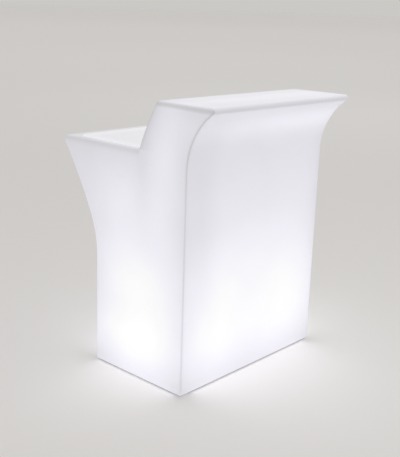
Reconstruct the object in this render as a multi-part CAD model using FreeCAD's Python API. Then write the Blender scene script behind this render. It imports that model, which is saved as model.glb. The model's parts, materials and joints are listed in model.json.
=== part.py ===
import FreeCAD, Part
import math
import os

# An illuminated bar counter: one hollow moulded body that glows from two lamps in its base. The
# customer stands on the -Y side, at the high top. The lower worktop is on the +Y side.
# X = 0 is the middle of the width, Y = 0 the middle of the overall depth and Z = 0 the floor.

V = FreeCAD.Vector
ALONG_X = V(1, 0, 0)
ALONG_Y = V(0, 1, 0)
UP = V(0, 0, 1)
SIDES = {"left": -1, "right": 1}
CORNERS = {
    "front_left": (-1, -1),
    "front_right": (1, -1),
    "rear_left": (-1, 1),
    "rear_right": (1, 1),
}

# Body, all in millimetres
width = 822.0
height = 1100.0
riser_height = 186.0
base_depth = 484.0
front_overhang = 117.0
rear_overhang = 196.0
ground_gap = 4.0
wall = 6.0
upper_top_depth = 271.0
riser_lean = 91.0
riser_bulge = 5.0
front_flare_height = 238.0
rear_flare_height = 464.0
rear_flare_r = 400.0
rear_flare_turn = math.radians(25)
front_rim_r = 12.0
rear_rim_r = 20.0
top_rear_r = 12.0
riser_foot_r = 14.0
base_edge_r = 10.0
end_edge_r = 9.0

# Worktop panel in its recess
panel_end_rim = 28.0
panel_rear_rim = 58.0
panel_riser_gap = 11.0
panel_rear_corner_r = 40.0
panel_riser_corner_r = 12.0
panel_thickness = 8.0
panel_edge_r = 1.5
panel_gap = 0.5
recess_depth = 7.0
seal_thickness = 1.0
seal_width = 9.0

# Levelling feet
foot_edge_distance = 55.0
foot_pocket_r = 28.0
foot_pocket_depth = 12.0
foot_pad_r = 22.0
foot_pad_top_r = 16.0
foot_pad_height = 10.0
foot_pad_chamfer = 1.5
foot_socket_depth = 6.0
foot_stem_r = 5.0
foot_stem_length = 22.0
foot_collar_flats = 17.0
foot_bush_r = 8.0
foot_bush_height = 24.0
thread_clearance = 0.05

# Hatch in the base, closed by the plate that carries the light kit
plate_end_distance = 81.0
plate_depth = 220.0
plate_thickness = 3.0
plate_corner_r = 24.0
plate_gap = 1.0
ledge_width = 20.0
gasket_thickness = 2.0
hatch_screw_r = 2.5
hatch_screw_head_r = 4.6
hatch_screw_head_height = 2.1
hatch_bush_r = 3.5
hatch_bush_height = 8.0
hatch_boss_r = 8.0
screw_hole_gap = 0.25
plug_r = 6.0
plug_head_r = 9.0
plug_head_height = 2.0
plug_length = 9.0
plug_offset_x = 120.0

# Light kit
lamp_end_distance = 161.0
stand_width = 90.0
stand_depth = 90.0
stand_height = 55.0
stand_sheet = 1.5
stand_foot = 16.0
stand_hole_r = 6.0
kit_screw_r = 2.0
kit_screw_head_r = 3.8
kit_screw_head_height = 2.2
holder_base_r = 32.0
holder_base_height = 8.0
holder_body_r = 20.0
holder_height = 46.0
holder_floor = 14.0
holder_screw_circle_r = 26.0
holder_mouth_wall = 3.0
sleeve_outer_r = 14.4
sleeve_wall = 1.0
sleeve_height = 30.0
cap_tip_r = 4.5
cap_tip_height = 3.0
lamp_neck_r = 15.5
lamp_shoulder_r = 27.0
lamp_neck_height = 6.0
lamp_body_height = 38.0
globe_r = 34.0
globe_wall = 1.5

# Junction box between the lamps
box_size = 100.0
box_height = 44.0
box_wall = 2.5
box_corner_r = 6.0
box_lid_height = 5.0
box_lid_screw_inset = 8.0
box_floor_screw_inset = 16.0
box_post_r = 5.0
gland_r = 9.0
gland_length = 16.0
gland_height_share = 0.5
terminal_length = 52.0
terminal_depth = 22.0
terminal_height = 18.0
terminal_ways = 4
terminal_hole_share = 0.25

# Leads inside the body
lead_r = 3.5
lead_bend_r = 26.0
lead_floor_gap = 3.3
lead_drop_distance = 32.0
lead_climb_distance = 30.0
saddle_size = 20.0
saddle_base = 3.0
saddle_wall = 2.0
saddle_band = 8.0
saddle_shares = (0.35, 0.75)

# Service plate on the rear wall
service_end_distance = 161.0
service_height = 120.0
service_length = 124.0
service_rise = 62.0
service_thickness = 3.0
service_proud = 1.0
service_corner_r = 6.0
service_edge_r = 0.8
service_gap = 0.4
service_opening_margin = 12.0
service_screw_inset = 6.0
service_screw_r = 1.5
service_screw_head_r = 2.9
service_screw_head_height = 1.8
service_bush_r = 2.4
service_bush_length = 9.0
panel_cutout_gap = 0.25

# Mains inlet with its hinged flap
inlet_offset = -27.0
inlet_flange_length = 44.0
inlet_flange_rise = 30.0
inlet_flange_thickness = 3.0
inlet_barrel_length = 28.0
inlet_barrel_rise = 21.0
inlet_barrel_depth = 27.0
inlet_well_length = 23.5
inlet_well_rise = 16.0
inlet_well_depth = 20.0
pin_width = 2.0
pin_rise = 4.0
pin_spacing = 7.0
pin_reach = 14.0
pin_tail = 7.0
earth_pin_lift = 3.0
flap_length = 34.0
flap_rise = 27.0
flap_thickness = 2.4
flap_lip = 2.0
flap_gap = 0.3
hinge_r = 2.6
hinge_pin_r = 1.0
hinge_length = 14.0
hinge_lug = 3.0
hinge_web = 3.5
running_gap = 0.05

# Rocker switch
switch_offset = 33.0
switch_flange_length = 27.0
switch_flange_rise = 34.0
switch_flange_thickness = 2.0
switch_housing_length = 22.6
switch_housing_rise = 30.4
switch_housing_depth = 20.0
rocker_length = 18.2
rocker_side_gap = 0.4
rocker_r = 13.2
rocker_half_turn = math.radians(10)
rocker_ridge = 4.5
rocker_skirt = 4.0
rocker_sink = 3.0
rocker_pin_r = 1.5
rocker_pin_length = 1.6
rocker_well_depth = 9.0
blade_width = 0.8
blade_rise = 6.3
blade_length = 8.0
blade_root = 5.0
blade_spacing = 11.0
shroud_depth = 38.0
shroud_wall = 2.0

# How far a cutting tool runs past the face that it cuts
overrun = 1.0

# Places worked out from the sizes above
worktop_height = height - riser_height
front_flare_start = height - front_flare_height
rear_flare_start = worktop_height - rear_flare_height
plate_length = width - 2 * plate_end_distance
overall_depth = front_overhang + base_depth + rear_overhang
front_y = -overall_depth / 2
rear_y = overall_depth / 2
base_front_y = front_y + front_overhang
base_rear_y = base_front_y + base_depth
base_mid_y = (base_front_y + base_rear_y) / 2
top_rear_y = front_y + upper_top_depth
riser_foot_y = top_rear_y + riser_lean
floor_inside = ground_gap + wall
pocket_roof = ground_gap + foot_pocket_depth
plate_top = ground_gap + plate_thickness
ledge_z = plate_top + gasket_thickness
ledge_top = ledge_z + wall
recess_floor = worktop_height - recess_depth
stand_top = plate_top + stand_height
sleeve_inner_r = sleeve_outer_r - sleeve_wall
cap_z = stand_top + holder_floor + cap_tip_height
lamp_body_z = stand_top + holder_height
globe_z = lamp_body_z + lamp_body_height
lamp_x = width / 2 - lamp_end_distance
gland_z = plate_top + box_height * gland_height_share
service_x = width / 2 - service_end_distance
service_face = base_rear_y + service_proud
service_back = service_face - service_thickness
inlet_x = service_x + inlet_offset
inlet_face = service_face + inlet_flange_thickness
hinge_z = service_height + inlet_flange_rise / 2 + flap_gap + hinge_r
hinge_y = service_face + flap_gap + hinge_r
switch_x = service_x + switch_offset
switch_face = service_face + switch_flange_thickness
rocker_y = switch_face - rocker_sink


def block(x_mid, y_mid, z_low, x_size, y_size, z_size):
    """A box given by its middle in plan, its underside and its sizes."""
    corner = V(x_mid - x_size / 2, y_mid - y_size / 2, z_low)
    return Part.makeBox(x_size, y_size, z_size, corner)


def wall_block(x_mid, z_mid, y_low, x_size, z_size, y_size):
    """A box for the rear wall, given by its middle in elevation and its lowest y."""
    corner = V(x_mid - x_size / 2, y_low, z_mid - z_size / 2)
    return Part.makeBox(x_size, y_size, z_size, corner)


def edges_along(shape, axis):
    """The straight edges that run along an axis."""
    found = []
    for edge in shape.Edges:
        run = edge.Vertexes[-1].Point - edge.Vertexes[0].Point
        if run.Length > 0 and abs(run.normalize().dot(axis)) > 1 - Part.Precision.confusion():
            found.append(edge)
    return found


def rounded(shape, axis, radius):
    """The shape with its edges along one axis rounded."""
    return shape.makeFillet(radius, edges_along(shape, axis))


def slab(x_mid, y_mid, z_low, x_size, y_size, z_size, radius):
    """A flat-lying plate with round corners."""
    return rounded(block(x_mid, y_mid, z_low, x_size, y_size, z_size), UP, radius)


def wall_slab(x_mid, z_mid, y_low, x_size, z_size, y_size, radius):
    """A plate with round corners that stands against the rear wall."""
    return rounded(wall_block(x_mid, z_mid, y_low, x_size, z_size, y_size), ALONG_Y, radius)


def rod(radius, start, length, direction=UP):
    return Part.makeCylinder(radius, length, start, direction)


def hexagon(flats, centre, length):
    """An upright hexagonal bar."""
    corner_r = flats / math.sqrt(3)
    points = []
    for step in range(7):
        turn = step * math.pi / 3
        points.append(centre + V(corner_r * math.cos(turn), corner_r * math.sin(turn), 0))
    return Part.Face(Part.makePolygon(points)).extrude(UP * length)


def turned(points, x, y):
    """A solid turned about an upright axis from a closed outline of (radius, height) points."""
    outline = [V(x + radius, y, z) for radius, z in points]
    outline.append(outline[0])
    return Part.Face(Part.makePolygon(outline)).revolve(V(x, y, 0), UP, 360)


def arc(centre, radius, start, end):
    """An arc of less than a half turn about a centre, in the plane that holds all three."""
    middle = (start - centre).normalize() + (end - centre).normalize()
    return Part.Arc(start, centre + middle.normalize() * radius, end).toShape()


def line(start, end):
    return Part.LineSegment(start, end).toShape()


def toward(start, end, distance):
    """The point at a distance from start on the way to end."""
    return start + (end - start).normalize() * distance


def joined(shapes):
    return shapes[0].multiFuse(shapes[1:]).removeSplitter()


def front_flare():
    """Centre and radius of the front flare, which meets the front rim in a smooth line."""
    rise = height - front_rim_r - front_flare_start
    reach = front_overhang - front_rim_r
    radius = (reach ** 2 + rise ** 2 - front_rim_r ** 2) / (2 * front_overhang)
    return V(0, base_front_y - radius, front_flare_start), radius


def rear_flares():
    """Centres and radii of the two arcs of the rear flare, and the point between them."""
    lower = V(0, base_rear_y + rear_flare_r, rear_flare_start)
    outward = V(0, math.cos(rear_flare_turn), -math.sin(rear_flare_turn))
    joint = lower - outward * rear_flare_r
    rim = rear_rim_centre()
    offset = joint - rim
    radius = (offset.dot(offset) - rear_rim_r ** 2) / (2 * (rear_rim_r - outward.dot(offset)))
    return lower, joint, outward, joint + outward * radius, radius


def front_rim_centre():
    return V(0, front_y + front_rim_r, height - front_rim_r)


def rear_rim_centre():
    return V(0, rear_y - rear_rim_r, worktop_height - rear_rim_r)


def riser_arc():
    """Centre and radius of the riser, which bulges a little towards the worktop."""
    foot = V(0, riser_foot_y, worktop_height)
    top = V(0, top_rear_y, height)
    chord = (top - foot).Length
    radius = (chord ** 2 / 4 + riser_bulge ** 2) / (2 * riser_bulge)
    outward = V(0, height - worktop_height, riser_lean).normalize()
    return (foot + top) / 2 - outward * (radius - riser_bulge), radius


def riser_point(inset, z):
    centre, radius = riser_arc()
    reach = math.sqrt((radius - inset) ** 2 - (z - centre.z) ** 2)
    return V(0, centre.y + reach, z)


def side_outline(inset):
    """The body's side outline moved inwards by inset, its square corners not yet rounded."""
    top = height - inset
    worktop = worktop_height - inset
    bottom = ground_gap + inset
    flare, flare_r = front_flare()
    rim = front_rim_centre()
    lower, joint, outward, upper, upper_r = rear_flares()
    rear_rim = rear_rim_centre()
    riser, riser_r = riser_arc()

    front_low = V(0, base_front_y + inset, bottom)
    front_bend = V(0, base_front_y + inset, front_flare_start)
    front_tip = toward(flare, rim, flare_r + inset)
    front_crest = V(0, rim.y, top)
    riser_top = riser_point(inset, top)
    riser_foot = riser_point(inset, worktop)
    rear_crest = V(0, rear_rim.y, worktop)
    rear_tip = toward(upper, rear_rim, upper_r + inset)
    rear_turn = joint - outward * inset
    rear_bend = V(0, base_rear_y - inset, rear_flare_start)
    rear_low = V(0, base_rear_y - inset, bottom)
    edges = [
        line(front_low, front_bend),
        arc(flare, flare_r + inset, front_bend, front_tip),
        arc(rim, front_rim_r - inset, front_tip, front_crest),
        line(front_crest, riser_top),
        arc(riser, riser_r - inset, riser_top, riser_foot),
        line(riser_foot, rear_crest),
        arc(rear_rim, rear_rim_r - inset, rear_crest, rear_tip),
        arc(upper, upper_r + inset, rear_tip, rear_turn),
        arc(lower, rear_flare_r + inset, rear_turn, rear_bend),
        line(rear_bend, rear_low),
        line(rear_low, front_low),
    ]
    corners = [
        (front_low, base_edge_r - inset),
        (rear_low, base_edge_r - inset),
        (riser_top, top_rear_r - inset),
        (riser_foot, riser_foot_r + inset),
    ]
    return edges, corners


def edges_over(shape, point):
    """The lengthwise edges that lie over a point of the side outline."""
    near = Part.Precision.confusion() * width
    found = []
    for edge in edges_along(shape, ALONG_X):
        start = edge.Vertexes[0].Point
        if math.hypot(start.y - point.y, start.z - point.z) < near:
            found.append(edge)
    return found


def end_loops(shape, half_width):
    """The edges that go round the two end faces."""
    near = Part.Precision.confusion() * width
    found = []
    for edge in shape.Edges:
        if abs(abs(edge.CenterOfMass.x) - half_width) < near:
            found.append(edge)
    return found


def solid_body(inset):
    """The outer body, or with an inset of one wall, the space inside it."""
    half_width = width / 2 - inset
    edges, corners = side_outline(inset)
    face = Part.Face(Part.Wire(edges))
    body = face.extrude(ALONG_X * (2 * half_width))
    body.translate(ALONG_X * -half_width)
    for point, radius in corners:
        body = body.makeFillet(radius, edges_over(body, point))
    return body.makeFillet(end_edge_r - inset, end_loops(body, half_width))


def worktop_outline(z_low, thickness, grow):
    """The worktop panel's outline as a plate, made larger all round by grow."""
    low_y = riser_foot_y + panel_riser_gap - grow
    high_y = rear_y - panel_rear_rim + grow
    half = width / 2 - panel_end_rim + grow
    plate = Part.makeBox(2 * half, high_y - low_y, thickness, V(-half, low_y, z_low))
    for y, radius in ((high_y, panel_rear_corner_r), (low_y, panel_riser_corner_r)):
        corners = [e for e in edges_along(plate, UP) if abs(e.CenterOfMass.y - y) < panel_gap / 2]
        plate = plate.makeFillet(max(radius + grow, panel_gap), corners)
    return plate


def foot_place(corner):
    side_x, side_y = CORNERS[corner]
    x = side_x * (width / 2 - foot_edge_distance)
    y = base_mid_y + side_y * (base_depth / 2 - foot_edge_distance)
    return x, y


def hatch_slab(z_low, thickness, grow):
    """A plate with the hatch plate's outline, made larger all round by grow."""
    length = plate_length + 2 * grow
    depth = plate_depth + 2 * grow
    return slab(0, base_mid_y, z_low, length, depth, thickness, plate_corner_r + grow)


def hatch_screw_places():
    """The screws stand in the middle of the ledge, four on each long side, one at each end."""
    long_shares = (-1, -1 / 3, 1 / 3, 1)
    half_length = plate_length / 2 - plate_corner_r - ledge_width / 2
    half_depth = (plate_depth - ledge_width) / 2
    places = []
    for side in (-1, 1):
        for share in long_shares:
            places.append((share * half_length, base_mid_y + side * half_depth))
        places.append((side * (plate_length - ledge_width) / 2, base_mid_y))
    return places


def service_screw_places():
    places = []
    for side_x in (-1, 1):
        for side_z in (-1, 1):
            x = service_x + side_x * (service_length / 2 - service_screw_inset)
            z = service_height + side_z * (service_rise / 2 - service_screw_inset)
            places.append((x, z))
    return places


def inside_thickening():
    """The places where the moulding is thicker than its wall, on the inside."""
    parts = [
        hatch_slab(ground_gap, ledge_top - ground_gap, plate_gap + wall),
        worktop_outline(recess_floor - wall, wall + recess_depth, panel_gap + wall),
    ]
    boss_top = ledge_z + hatch_bush_height + wall / 2
    for x, y in hatch_screw_places():
        parts.append(rod(hatch_boss_r, V(x, y, ground_gap), boss_top - ground_gap))
    for corner in CORNERS:
        x, y = foot_place(corner)
        roof = pocket_roof + wall
        parts.append(rod(foot_pocket_r + wall, V(x, y, ground_gap), roof - ground_gap))
        bush_top = pocket_roof + foot_bush_height + wall
        parts.append(rod(foot_bush_r + wall, V(x, y, ground_gap), bush_top - ground_gap))
    pad_depth = service_thickness - service_proud + service_bush_length + wall / 2
    parts.append(wall_slab(
        service_x, service_height, base_rear_y - pad_depth,
        service_length + 2 * wall, service_rise + 2 * wall, pad_depth, service_corner_r + wall))
    return parts


def service_opening(y_low, depth, grow):
    """The window in the rear wall behind the service plate, made larger all round by grow."""
    length = service_length - 2 * service_opening_margin + 2 * grow
    rise = service_rise - 2 * service_opening_margin + 2 * grow
    return wall_block(service_x, service_height, y_low, length, rise, depth)


def shell_cuts():
    """Everything taken out of the moulded body from outside."""
    cuts = [
        worktop_outline(recess_floor, recess_depth + overrun, panel_gap),
        hatch_slab(ground_gap - overrun, ledge_z - ground_gap + overrun, plate_gap),
        hatch_slab(ledge_z - overrun, wall + 2 * overrun, -ledge_width),
    ]
    for x, y in hatch_screw_places():
        cuts.append(rod(hatch_bush_r, V(x, y, ledge_z), hatch_bush_height))
    for corner in CORNERS:
        x, y = foot_place(corner)
        cuts.append(rod(foot_pocket_r, V(x, y, ground_gap - overrun), foot_pocket_depth + overrun))
        cuts.append(rod(foot_bush_r, V(x, y, pocket_roof), foot_bush_height))
    rebate_y = service_back
    cuts.append(wall_slab(
        service_x, service_height, rebate_y, service_length + 2 * service_gap,
        service_rise + 2 * service_gap, base_rear_y - rebate_y + overrun,
        service_corner_r + service_gap))
    pad_depth = service_thickness + service_bush_length + wall + overrun
    cuts.append(service_opening(service_back - pad_depth, pad_depth + overrun, 0))
    for x, z in service_screw_places():
        start = V(x, service_back, z)
        cuts.append(rod(service_bush_r, start, service_bush_length, -ALONG_Y))
    return cuts


def body_shell():
    hollow = solid_body(wall).cut(inside_thickening())
    return solid_body(0).cut([hollow] + shell_cuts())


def worktop_panel():
    plate = worktop_outline(recess_floor + seal_thickness, panel_thickness, 0)
    top = recess_floor + seal_thickness + panel_thickness
    rim = [e for e in plate.Edges if abs(e.CenterOfMass.z - top) < panel_edge_r / 2]
    return plate.makeFillet(panel_edge_r, rim)


def worktop_panel_seal():
    outer = worktop_outline(recess_floor, seal_thickness, 0)
    inner = worktop_outline(recess_floor - overrun, seal_thickness + 2 * overrun, -seal_width)
    return outer.cut(inner)


def base_plate():
    plate = hatch_slab(ground_gap, plate_thickness, 0)
    cuts = []
    for x, y in hatch_screw_places():
        cuts.append(hatch_screw(x, y, screw_hole_gap))
    cuts.append(rod(plug_r, V(plug_offset_x, base_mid_y, ground_gap - overrun),
                    plate_thickness + 2 * overrun))
    for x, y in stand_screw_places() + box_screw_places():
        cuts.append(rod(kit_screw_r, V(x, y, ground_gap - overrun), plate_thickness + 2 * overrun))
    return plate.cut(cuts)


def base_gasket():
    ring = hatch_slab(plate_top, gasket_thickness, 0)
    cuts = [hatch_slab(plate_top - overrun, gasket_thickness + 2 * overrun, -ledge_width)]
    hole_r = hatch_screw_r + screw_hole_gap
    for x, y in hatch_screw_places():
        cuts.append(rod(hole_r, V(x, y, plate_top - overrun), gasket_thickness + 2 * overrun))
    return ring.cut(cuts)


def hatch_screw(x, y, grow):
    """A countersunk screw seen from its head, made larger all round by grow."""
    low = ground_gap
    neck = low + hatch_screw_head_height
    end = ledge_z + hatch_bush_height - screw_hole_gap
    head_r = hatch_screw_head_r + grow
    shank_r = hatch_screw_r + grow
    return turned([(0, low), (head_r, low), (shank_r, neck), (shank_r, end), (0, end)], x, y)


def base_plate_screws():
    return Part.Compound([hatch_screw(x, y, 0) for x, y in hatch_screw_places()])


def base_plate_bushes():
    bushes = []
    for x, y in hatch_screw_places():
        foot = V(x, y, ledge_z)
        bush = rod(hatch_bush_r, foot, hatch_bush_height)
        bushes.append(bush.cut(rod(hatch_screw_r, foot, hatch_bush_height)))
    return Part.Compound(bushes)


def breather_plug():
    centre = V(plug_offset_x, base_mid_y, ground_gap)
    head = rod(plug_head_r, centre - UP * plug_head_height, plug_head_height)
    return joined([head, rod(plug_r, centre, plug_length)])


def foot_bushes():
    bushes = []
    for corner in CORNERS:
        x, y = foot_place(corner)
        foot = V(x, y, pocket_roof)
        bush = rod(foot_bush_r, foot, foot_bush_height)
        bushes.append(bush.cut(rod(foot_stem_r + thread_clearance, foot, foot_bush_height)))
    return Part.Compound(bushes)


def foot_stem(corner):
    """Threaded stem with a hexagon collar that seats on the bush when the foot is screwed home."""
    x, y = foot_place(corner)
    collar = hexagon(foot_collar_flats, V(x, y, foot_pad_height), pocket_roof - foot_pad_height)
    shank = rod(foot_stem_r, V(x, y, pocket_roof), foot_stem_length)
    socket = rod(foot_stem_r, V(x, y, foot_pad_height - foot_socket_depth), foot_socket_depth)
    return joined([socket, collar, shank])


def foot_pad(corner):
    x, y = foot_place(corner)
    pad = turned([
        (0, 0),
        (foot_pad_r - foot_pad_chamfer, 0),
        (foot_pad_r, foot_pad_chamfer),
        (foot_pad_r, foot_pad_height / 2),
        (foot_pad_top_r, foot_pad_height),
        (0, foot_pad_height),
    ], x, y)
    socket = V(x, y, foot_pad_height - foot_socket_depth)
    return pad.cut(rod(foot_stem_r, socket, foot_socket_depth))


def stand_screw_places():
    places = []
    for side in SIDES.values():
        for side_x in (-1, 1):
            for side_y in (-1, 1):
                x = side * lamp_x + side_x * (stand_width / 2 - stand_foot / 2)
                y = base_mid_y + side_y * (stand_depth / 2 + stand_foot / 2)
                places.append((x, y))
    return places


def box_screw_places():
    reach = box_size / 2 - box_floor_screw_inset
    return [(-reach, base_mid_y + reach), (reach, base_mid_y - reach)]


def pan_screw(x, y, seat, depth):
    """A screw with its head on a seat and its shank going down."""
    head = rod(kit_screw_head_r, V(x, y, seat), kit_screw_head_height)
    head = head.makeFillet(kit_screw_head_height / 2, [head.Edges[0]])
    return joined([head, rod(kit_screw_r, V(x, y, seat - depth), depth)])


def lamp_stand(side):
    """A folded sheet bridge with two feet, open towards the junction box."""
    x = side * lamp_x
    half = stand_depth / 2
    inner = half - stand_sheet
    points = [
        (-half - stand_foot, 0), (-inner, 0), (-inner, stand_height - stand_sheet),
        (inner, stand_height - stand_sheet), (inner, 0), (half + stand_foot, 0),
        (half + stand_foot, stand_sheet), (half, stand_sheet), (half, stand_height),
        (-half, stand_height), (-half, stand_sheet), (-half - stand_foot, stand_sheet),
    ]
    outline = [V(x - stand_width / 2, base_mid_y + y, plate_top + z) for y, z in points]
    outline.append(outline[0])
    bridge = Part.Face(Part.makePolygon(outline)).extrude(ALONG_X * stand_width)
    cuts = [rod(stand_hole_r, V(x, base_mid_y, stand_top - 2 * stand_sheet), 3 * stand_sheet)]
    for hole_x, hole_y in stand_screw_places() + holder_screw_places(side):
        cuts.append(rod(kit_screw_r, V(hole_x, hole_y, plate_top - overrun), 2 * stand_height))
    return bridge.cut(cuts)


def lamp_stand_screws():
    seat = plate_top + stand_sheet
    depth = stand_sheet + plate_thickness
    return Part.Compound([pan_screw(x, y, seat, depth) for x, y in stand_screw_places()])


def holder_screw_places(side):
    return [(side * lamp_x, base_mid_y + end * holder_screw_circle_r) for end in (-1, 1)]


def lampholder(side):
    """Moulded lampholder: a round base, a tapered body and a blind well for the sleeve."""
    x = side * lamp_x
    body = turned([
        (0, stand_top),
        (holder_base_r, stand_top),
        (holder_base_r, stand_top + holder_base_height / 2),
        (holder_body_r + holder_base_height / 4, stand_top + holder_base_height),
        (holder_body_r, stand_top + 2 * holder_base_height),
        (sleeve_outer_r + holder_mouth_wall, stand_top + holder_height),
        (0, stand_top + holder_height),
    ], x, base_mid_y)
    well = V(x, base_mid_y, stand_top + holder_floor)
    cuts = [rod(sleeve_outer_r, well, holder_height)]
    for hole_x, hole_y in holder_screw_places(side):
        cuts.append(rod(kit_screw_r, V(hole_x, hole_y, stand_top - overrun), holder_height))
        seat = V(hole_x, hole_y, stand_top + holder_base_height / 2)
        cuts.append(rod(kit_screw_head_r + screw_hole_gap, seat, holder_height))
    return body.cut(cuts)


def lampholder_screws():
    screws = []
    for side in SIDES.values():
        for x, y in holder_screw_places(side):
            seat = stand_top + holder_base_height / 2
            screws.append(pan_screw(x, y, seat, seat - stand_top + stand_sheet))
    return Part.Compound(screws)


def lampholder_sleeve(side):
    low = V(side * lamp_x, base_mid_y, stand_top + holder_floor)
    return rod(sleeve_outer_r, low, sleeve_height).cut(rod(sleeve_inner_r, low, sleeve_height))


def lamp_cap(side):
    """The screw cap of the lamp, with the contact at its tip."""
    low = V(side * lamp_x, base_mid_y, cap_z)
    tip = rod(cap_tip_r, low - UP * cap_tip_height, cap_tip_height)
    return joined([rod(sleeve_inner_r, low, lamp_body_z - cap_z), tip])


def lamp_body(side):
    top = globe_z
    return turned([
        (0, lamp_body_z),
        (lamp_neck_r, lamp_body_z),
        (lamp_neck_r, lamp_body_z + lamp_neck_height),
        (lamp_shoulder_r, top - lamp_neck_height),
        (lamp_shoulder_r, top),
        (0, top),
    ], side * lamp_x, base_mid_y)


def lamp_globe(side):
    """The opal globe: a ball cut off where it meets the lamp body, hollow inside."""
    sink = math.sqrt(globe_r ** 2 - lamp_shoulder_r ** 2)
    centre = V(side * lamp_x, base_mid_y, globe_z + sink)
    ball = Part.makeSphere(globe_r, centre).cut(Part.makeSphere(globe_r - globe_wall, centre))
    keep = block(centre.x, centre.y, globe_z, 2 * globe_r, 2 * globe_r, 2 * globe_r + sink)
    return ball.common(keep)


def junction_box():
    """An open box with four posts for the lid screws and three holes for the glands."""
    outer = slab(0, base_mid_y, plate_top, box_size, box_size, box_height, box_corner_r)
    inner_size = box_size - 2 * box_wall
    inner = slab(0, base_mid_y, plate_top + box_wall, inner_size, inner_size, box_height,
                 box_corner_r - box_wall)
    box = outer.cut(inner)
    posts = [rod(box_post_r, V(x, y, plate_top + box_wall), box_height - box_wall)
             for x, y in lid_screw_places()]
    cuts = [rod(kit_screw_r, V(x, y, plate_top + box_height / 2), box_height)
            for x, y in lid_screw_places()]
    for x, y in box_screw_places():
        cuts.append(rod(kit_screw_r, V(x, y, plate_top - overrun), box_wall + 2 * overrun))
    for face, outward in gland_faces():
        cuts.append(rod(gland_r / 2, face - outward * (box_wall + overrun),
                        box_wall + 2 * overrun, outward))
    return joined([box] + posts).cut(cuts)


def lid_screw_places():
    reach = box_size / 2 - box_lid_screw_inset
    return [(x * reach, base_mid_y + y * reach) for x in (-1, 1) for y in (-1, 1)]


def gland_faces():
    """Where the leads enter the junction box, and the way that each gland points."""
    half = box_size / 2
    return [
        (V(-half, base_mid_y, gland_z), -ALONG_X),
        (V(half, base_mid_y, gland_z), ALONG_X),
        (V(0, base_mid_y + half, gland_z), ALONG_Y),
    ]


def junction_box_lid():
    lid = slab(0, base_mid_y, plate_top + box_height, box_size, box_size, box_lid_height,
               box_corner_r)
    top = plate_top + box_height + box_lid_height
    rim = [e for e in lid.Edges if abs(e.CenterOfMass.z - top) < box_wall / 2]
    lid = lid.makeFillet(box_wall / 2, rim)
    seat = top - kit_screw_head_height
    cuts = []
    for x, y in lid_screw_places():
        cuts.append(rod(kit_screw_r, V(x, y, plate_top + box_height / 2), box_height))
        cuts.append(rod(kit_screw_head_r + screw_hole_gap, V(x, y, seat), box_lid_height))
    return lid.cut(cuts)


def junction_box_screws():
    """Four screws in the lid and two that hold the box on the plate."""
    seat = plate_top + box_height + box_lid_height - kit_screw_head_height
    screws = [pan_screw(x, y, seat, box_height / 2 - overrun) for x, y in lid_screw_places()]
    floor = plate_top + box_wall
    for x, y in box_screw_places():
        screws.append(pan_screw(x, y, floor, box_wall + plate_thickness))
    return Part.Compound(screws)


def terminal_block():
    """A strip with a row of wire holes, standing on the floor of the junction box."""
    strip = slab(0, base_mid_y, plate_top + box_wall, terminal_length, terminal_depth,
                 terminal_height, box_wall)
    pitch = terminal_length / (terminal_ways + 1)
    cuts = []
    for way in range(terminal_ways):
        x = (way - (terminal_ways - 1) / 2) * pitch
        start = V(x, base_mid_y - terminal_depth, plate_top + box_wall + terminal_height / 2)
        cuts.append(rod(pitch * terminal_hole_share, start, 2 * terminal_depth, ALONG_Y))
    return strip.cut(cuts)


def cable_glands():
    glands = []
    for face, outward in gland_faces():
        nut = rod(gland_r, face, gland_length / 2, outward)
        dome_start = face + outward * (gland_length / 2)
        dome = Part.makeCone(gland_r, lead_r * 2, gland_length / 2, dome_start, outward)
        neck = rod(gland_r / 2, face - outward * box_wall, box_wall, outward)
        bore = rod(lead_r, face - outward * box_wall, box_wall + gland_length, outward)
        glands.append(joined([nut, dome, neck]).cut(bore))
    return Part.Compound(glands)


def lead(points):
    """A round lead along straight runs joined by tangent arcs."""
    edges = []
    here = points[0]
    for before, corner, after in zip(points, points[1:], points[2:]):
        back = (before - corner).normalize()
        ahead = (after - corner).normalize()
        half_angle = back.getAngle(ahead) / 2
        cut = lead_bend_r / math.tan(half_angle)
        start = corner + back * cut
        end = corner + ahead * cut
        centre = corner + (back + ahead).normalize() * (lead_bend_r / math.sin(half_angle))
        edges.append(line(here, start))
        edges.append(arc(centre, lead_bend_r, start, end))
        here = end
    edges.append(line(here, points[-1]))
    path = Part.Wire(edges)
    run = (points[1] - points[0]).normalize()
    section = Part.Wire(Part.Circle(points[0], run, lead_r).toShape())
    return path.makePipeShell([section], True, False)


def lamp_lead(side):
    """From the gland beside the junction box, under the stand and up into the lampholder."""
    start = V(side * (box_size / 2 - box_wall), base_mid_y, gland_z)
    corner = V(side * lamp_x, base_mid_y, gland_z)
    return lead([start, corner, V(corner.x, corner.y, stand_top)])


def mains_lead_points():
    """From the shroud behind the service plate down to the base, along it and over to the box."""
    back_y = service_back - shroud_depth
    drop_y = back_y - lead_drop_distance
    floor_z = floor_inside + lead_floor_gap + lead_r
    near_box = base_mid_y + box_size / 2 - box_wall
    return [
        V(service_x, back_y + shroud_wall, service_height),
        V(service_x, drop_y, service_height),
        V(service_x, drop_y, floor_z),
        V(0, drop_y, floor_z),
        V(0, near_box + gland_length + lead_climb_distance, gland_z),
        V(0, near_box, gland_z),
    ]


def mains_lead():
    return lead(mains_lead_points())


def cable_saddles():
    """Two saddles on the base that hold the straight stretch of the mains lead."""
    run_start, run_end = mains_lead_points()[2:4]
    saddles = []
    for share in saddle_shares:
        middle = run_start + (run_end - run_start) * share
        foot = block(middle.x, middle.y, floor_inside, saddle_size, saddle_size, saddle_base)
        start = middle - ALONG_X * (saddle_band / 2)
        band = rod(lead_r + saddle_wall, start, saddle_band, ALONG_X)
        bore = rod(lead_r, middle - ALONG_X * saddle_size, 2 * saddle_size, ALONG_X)
        saddles.append(joined([foot, band]).cut(bore))
    return Part.Compound(saddles)


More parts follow.
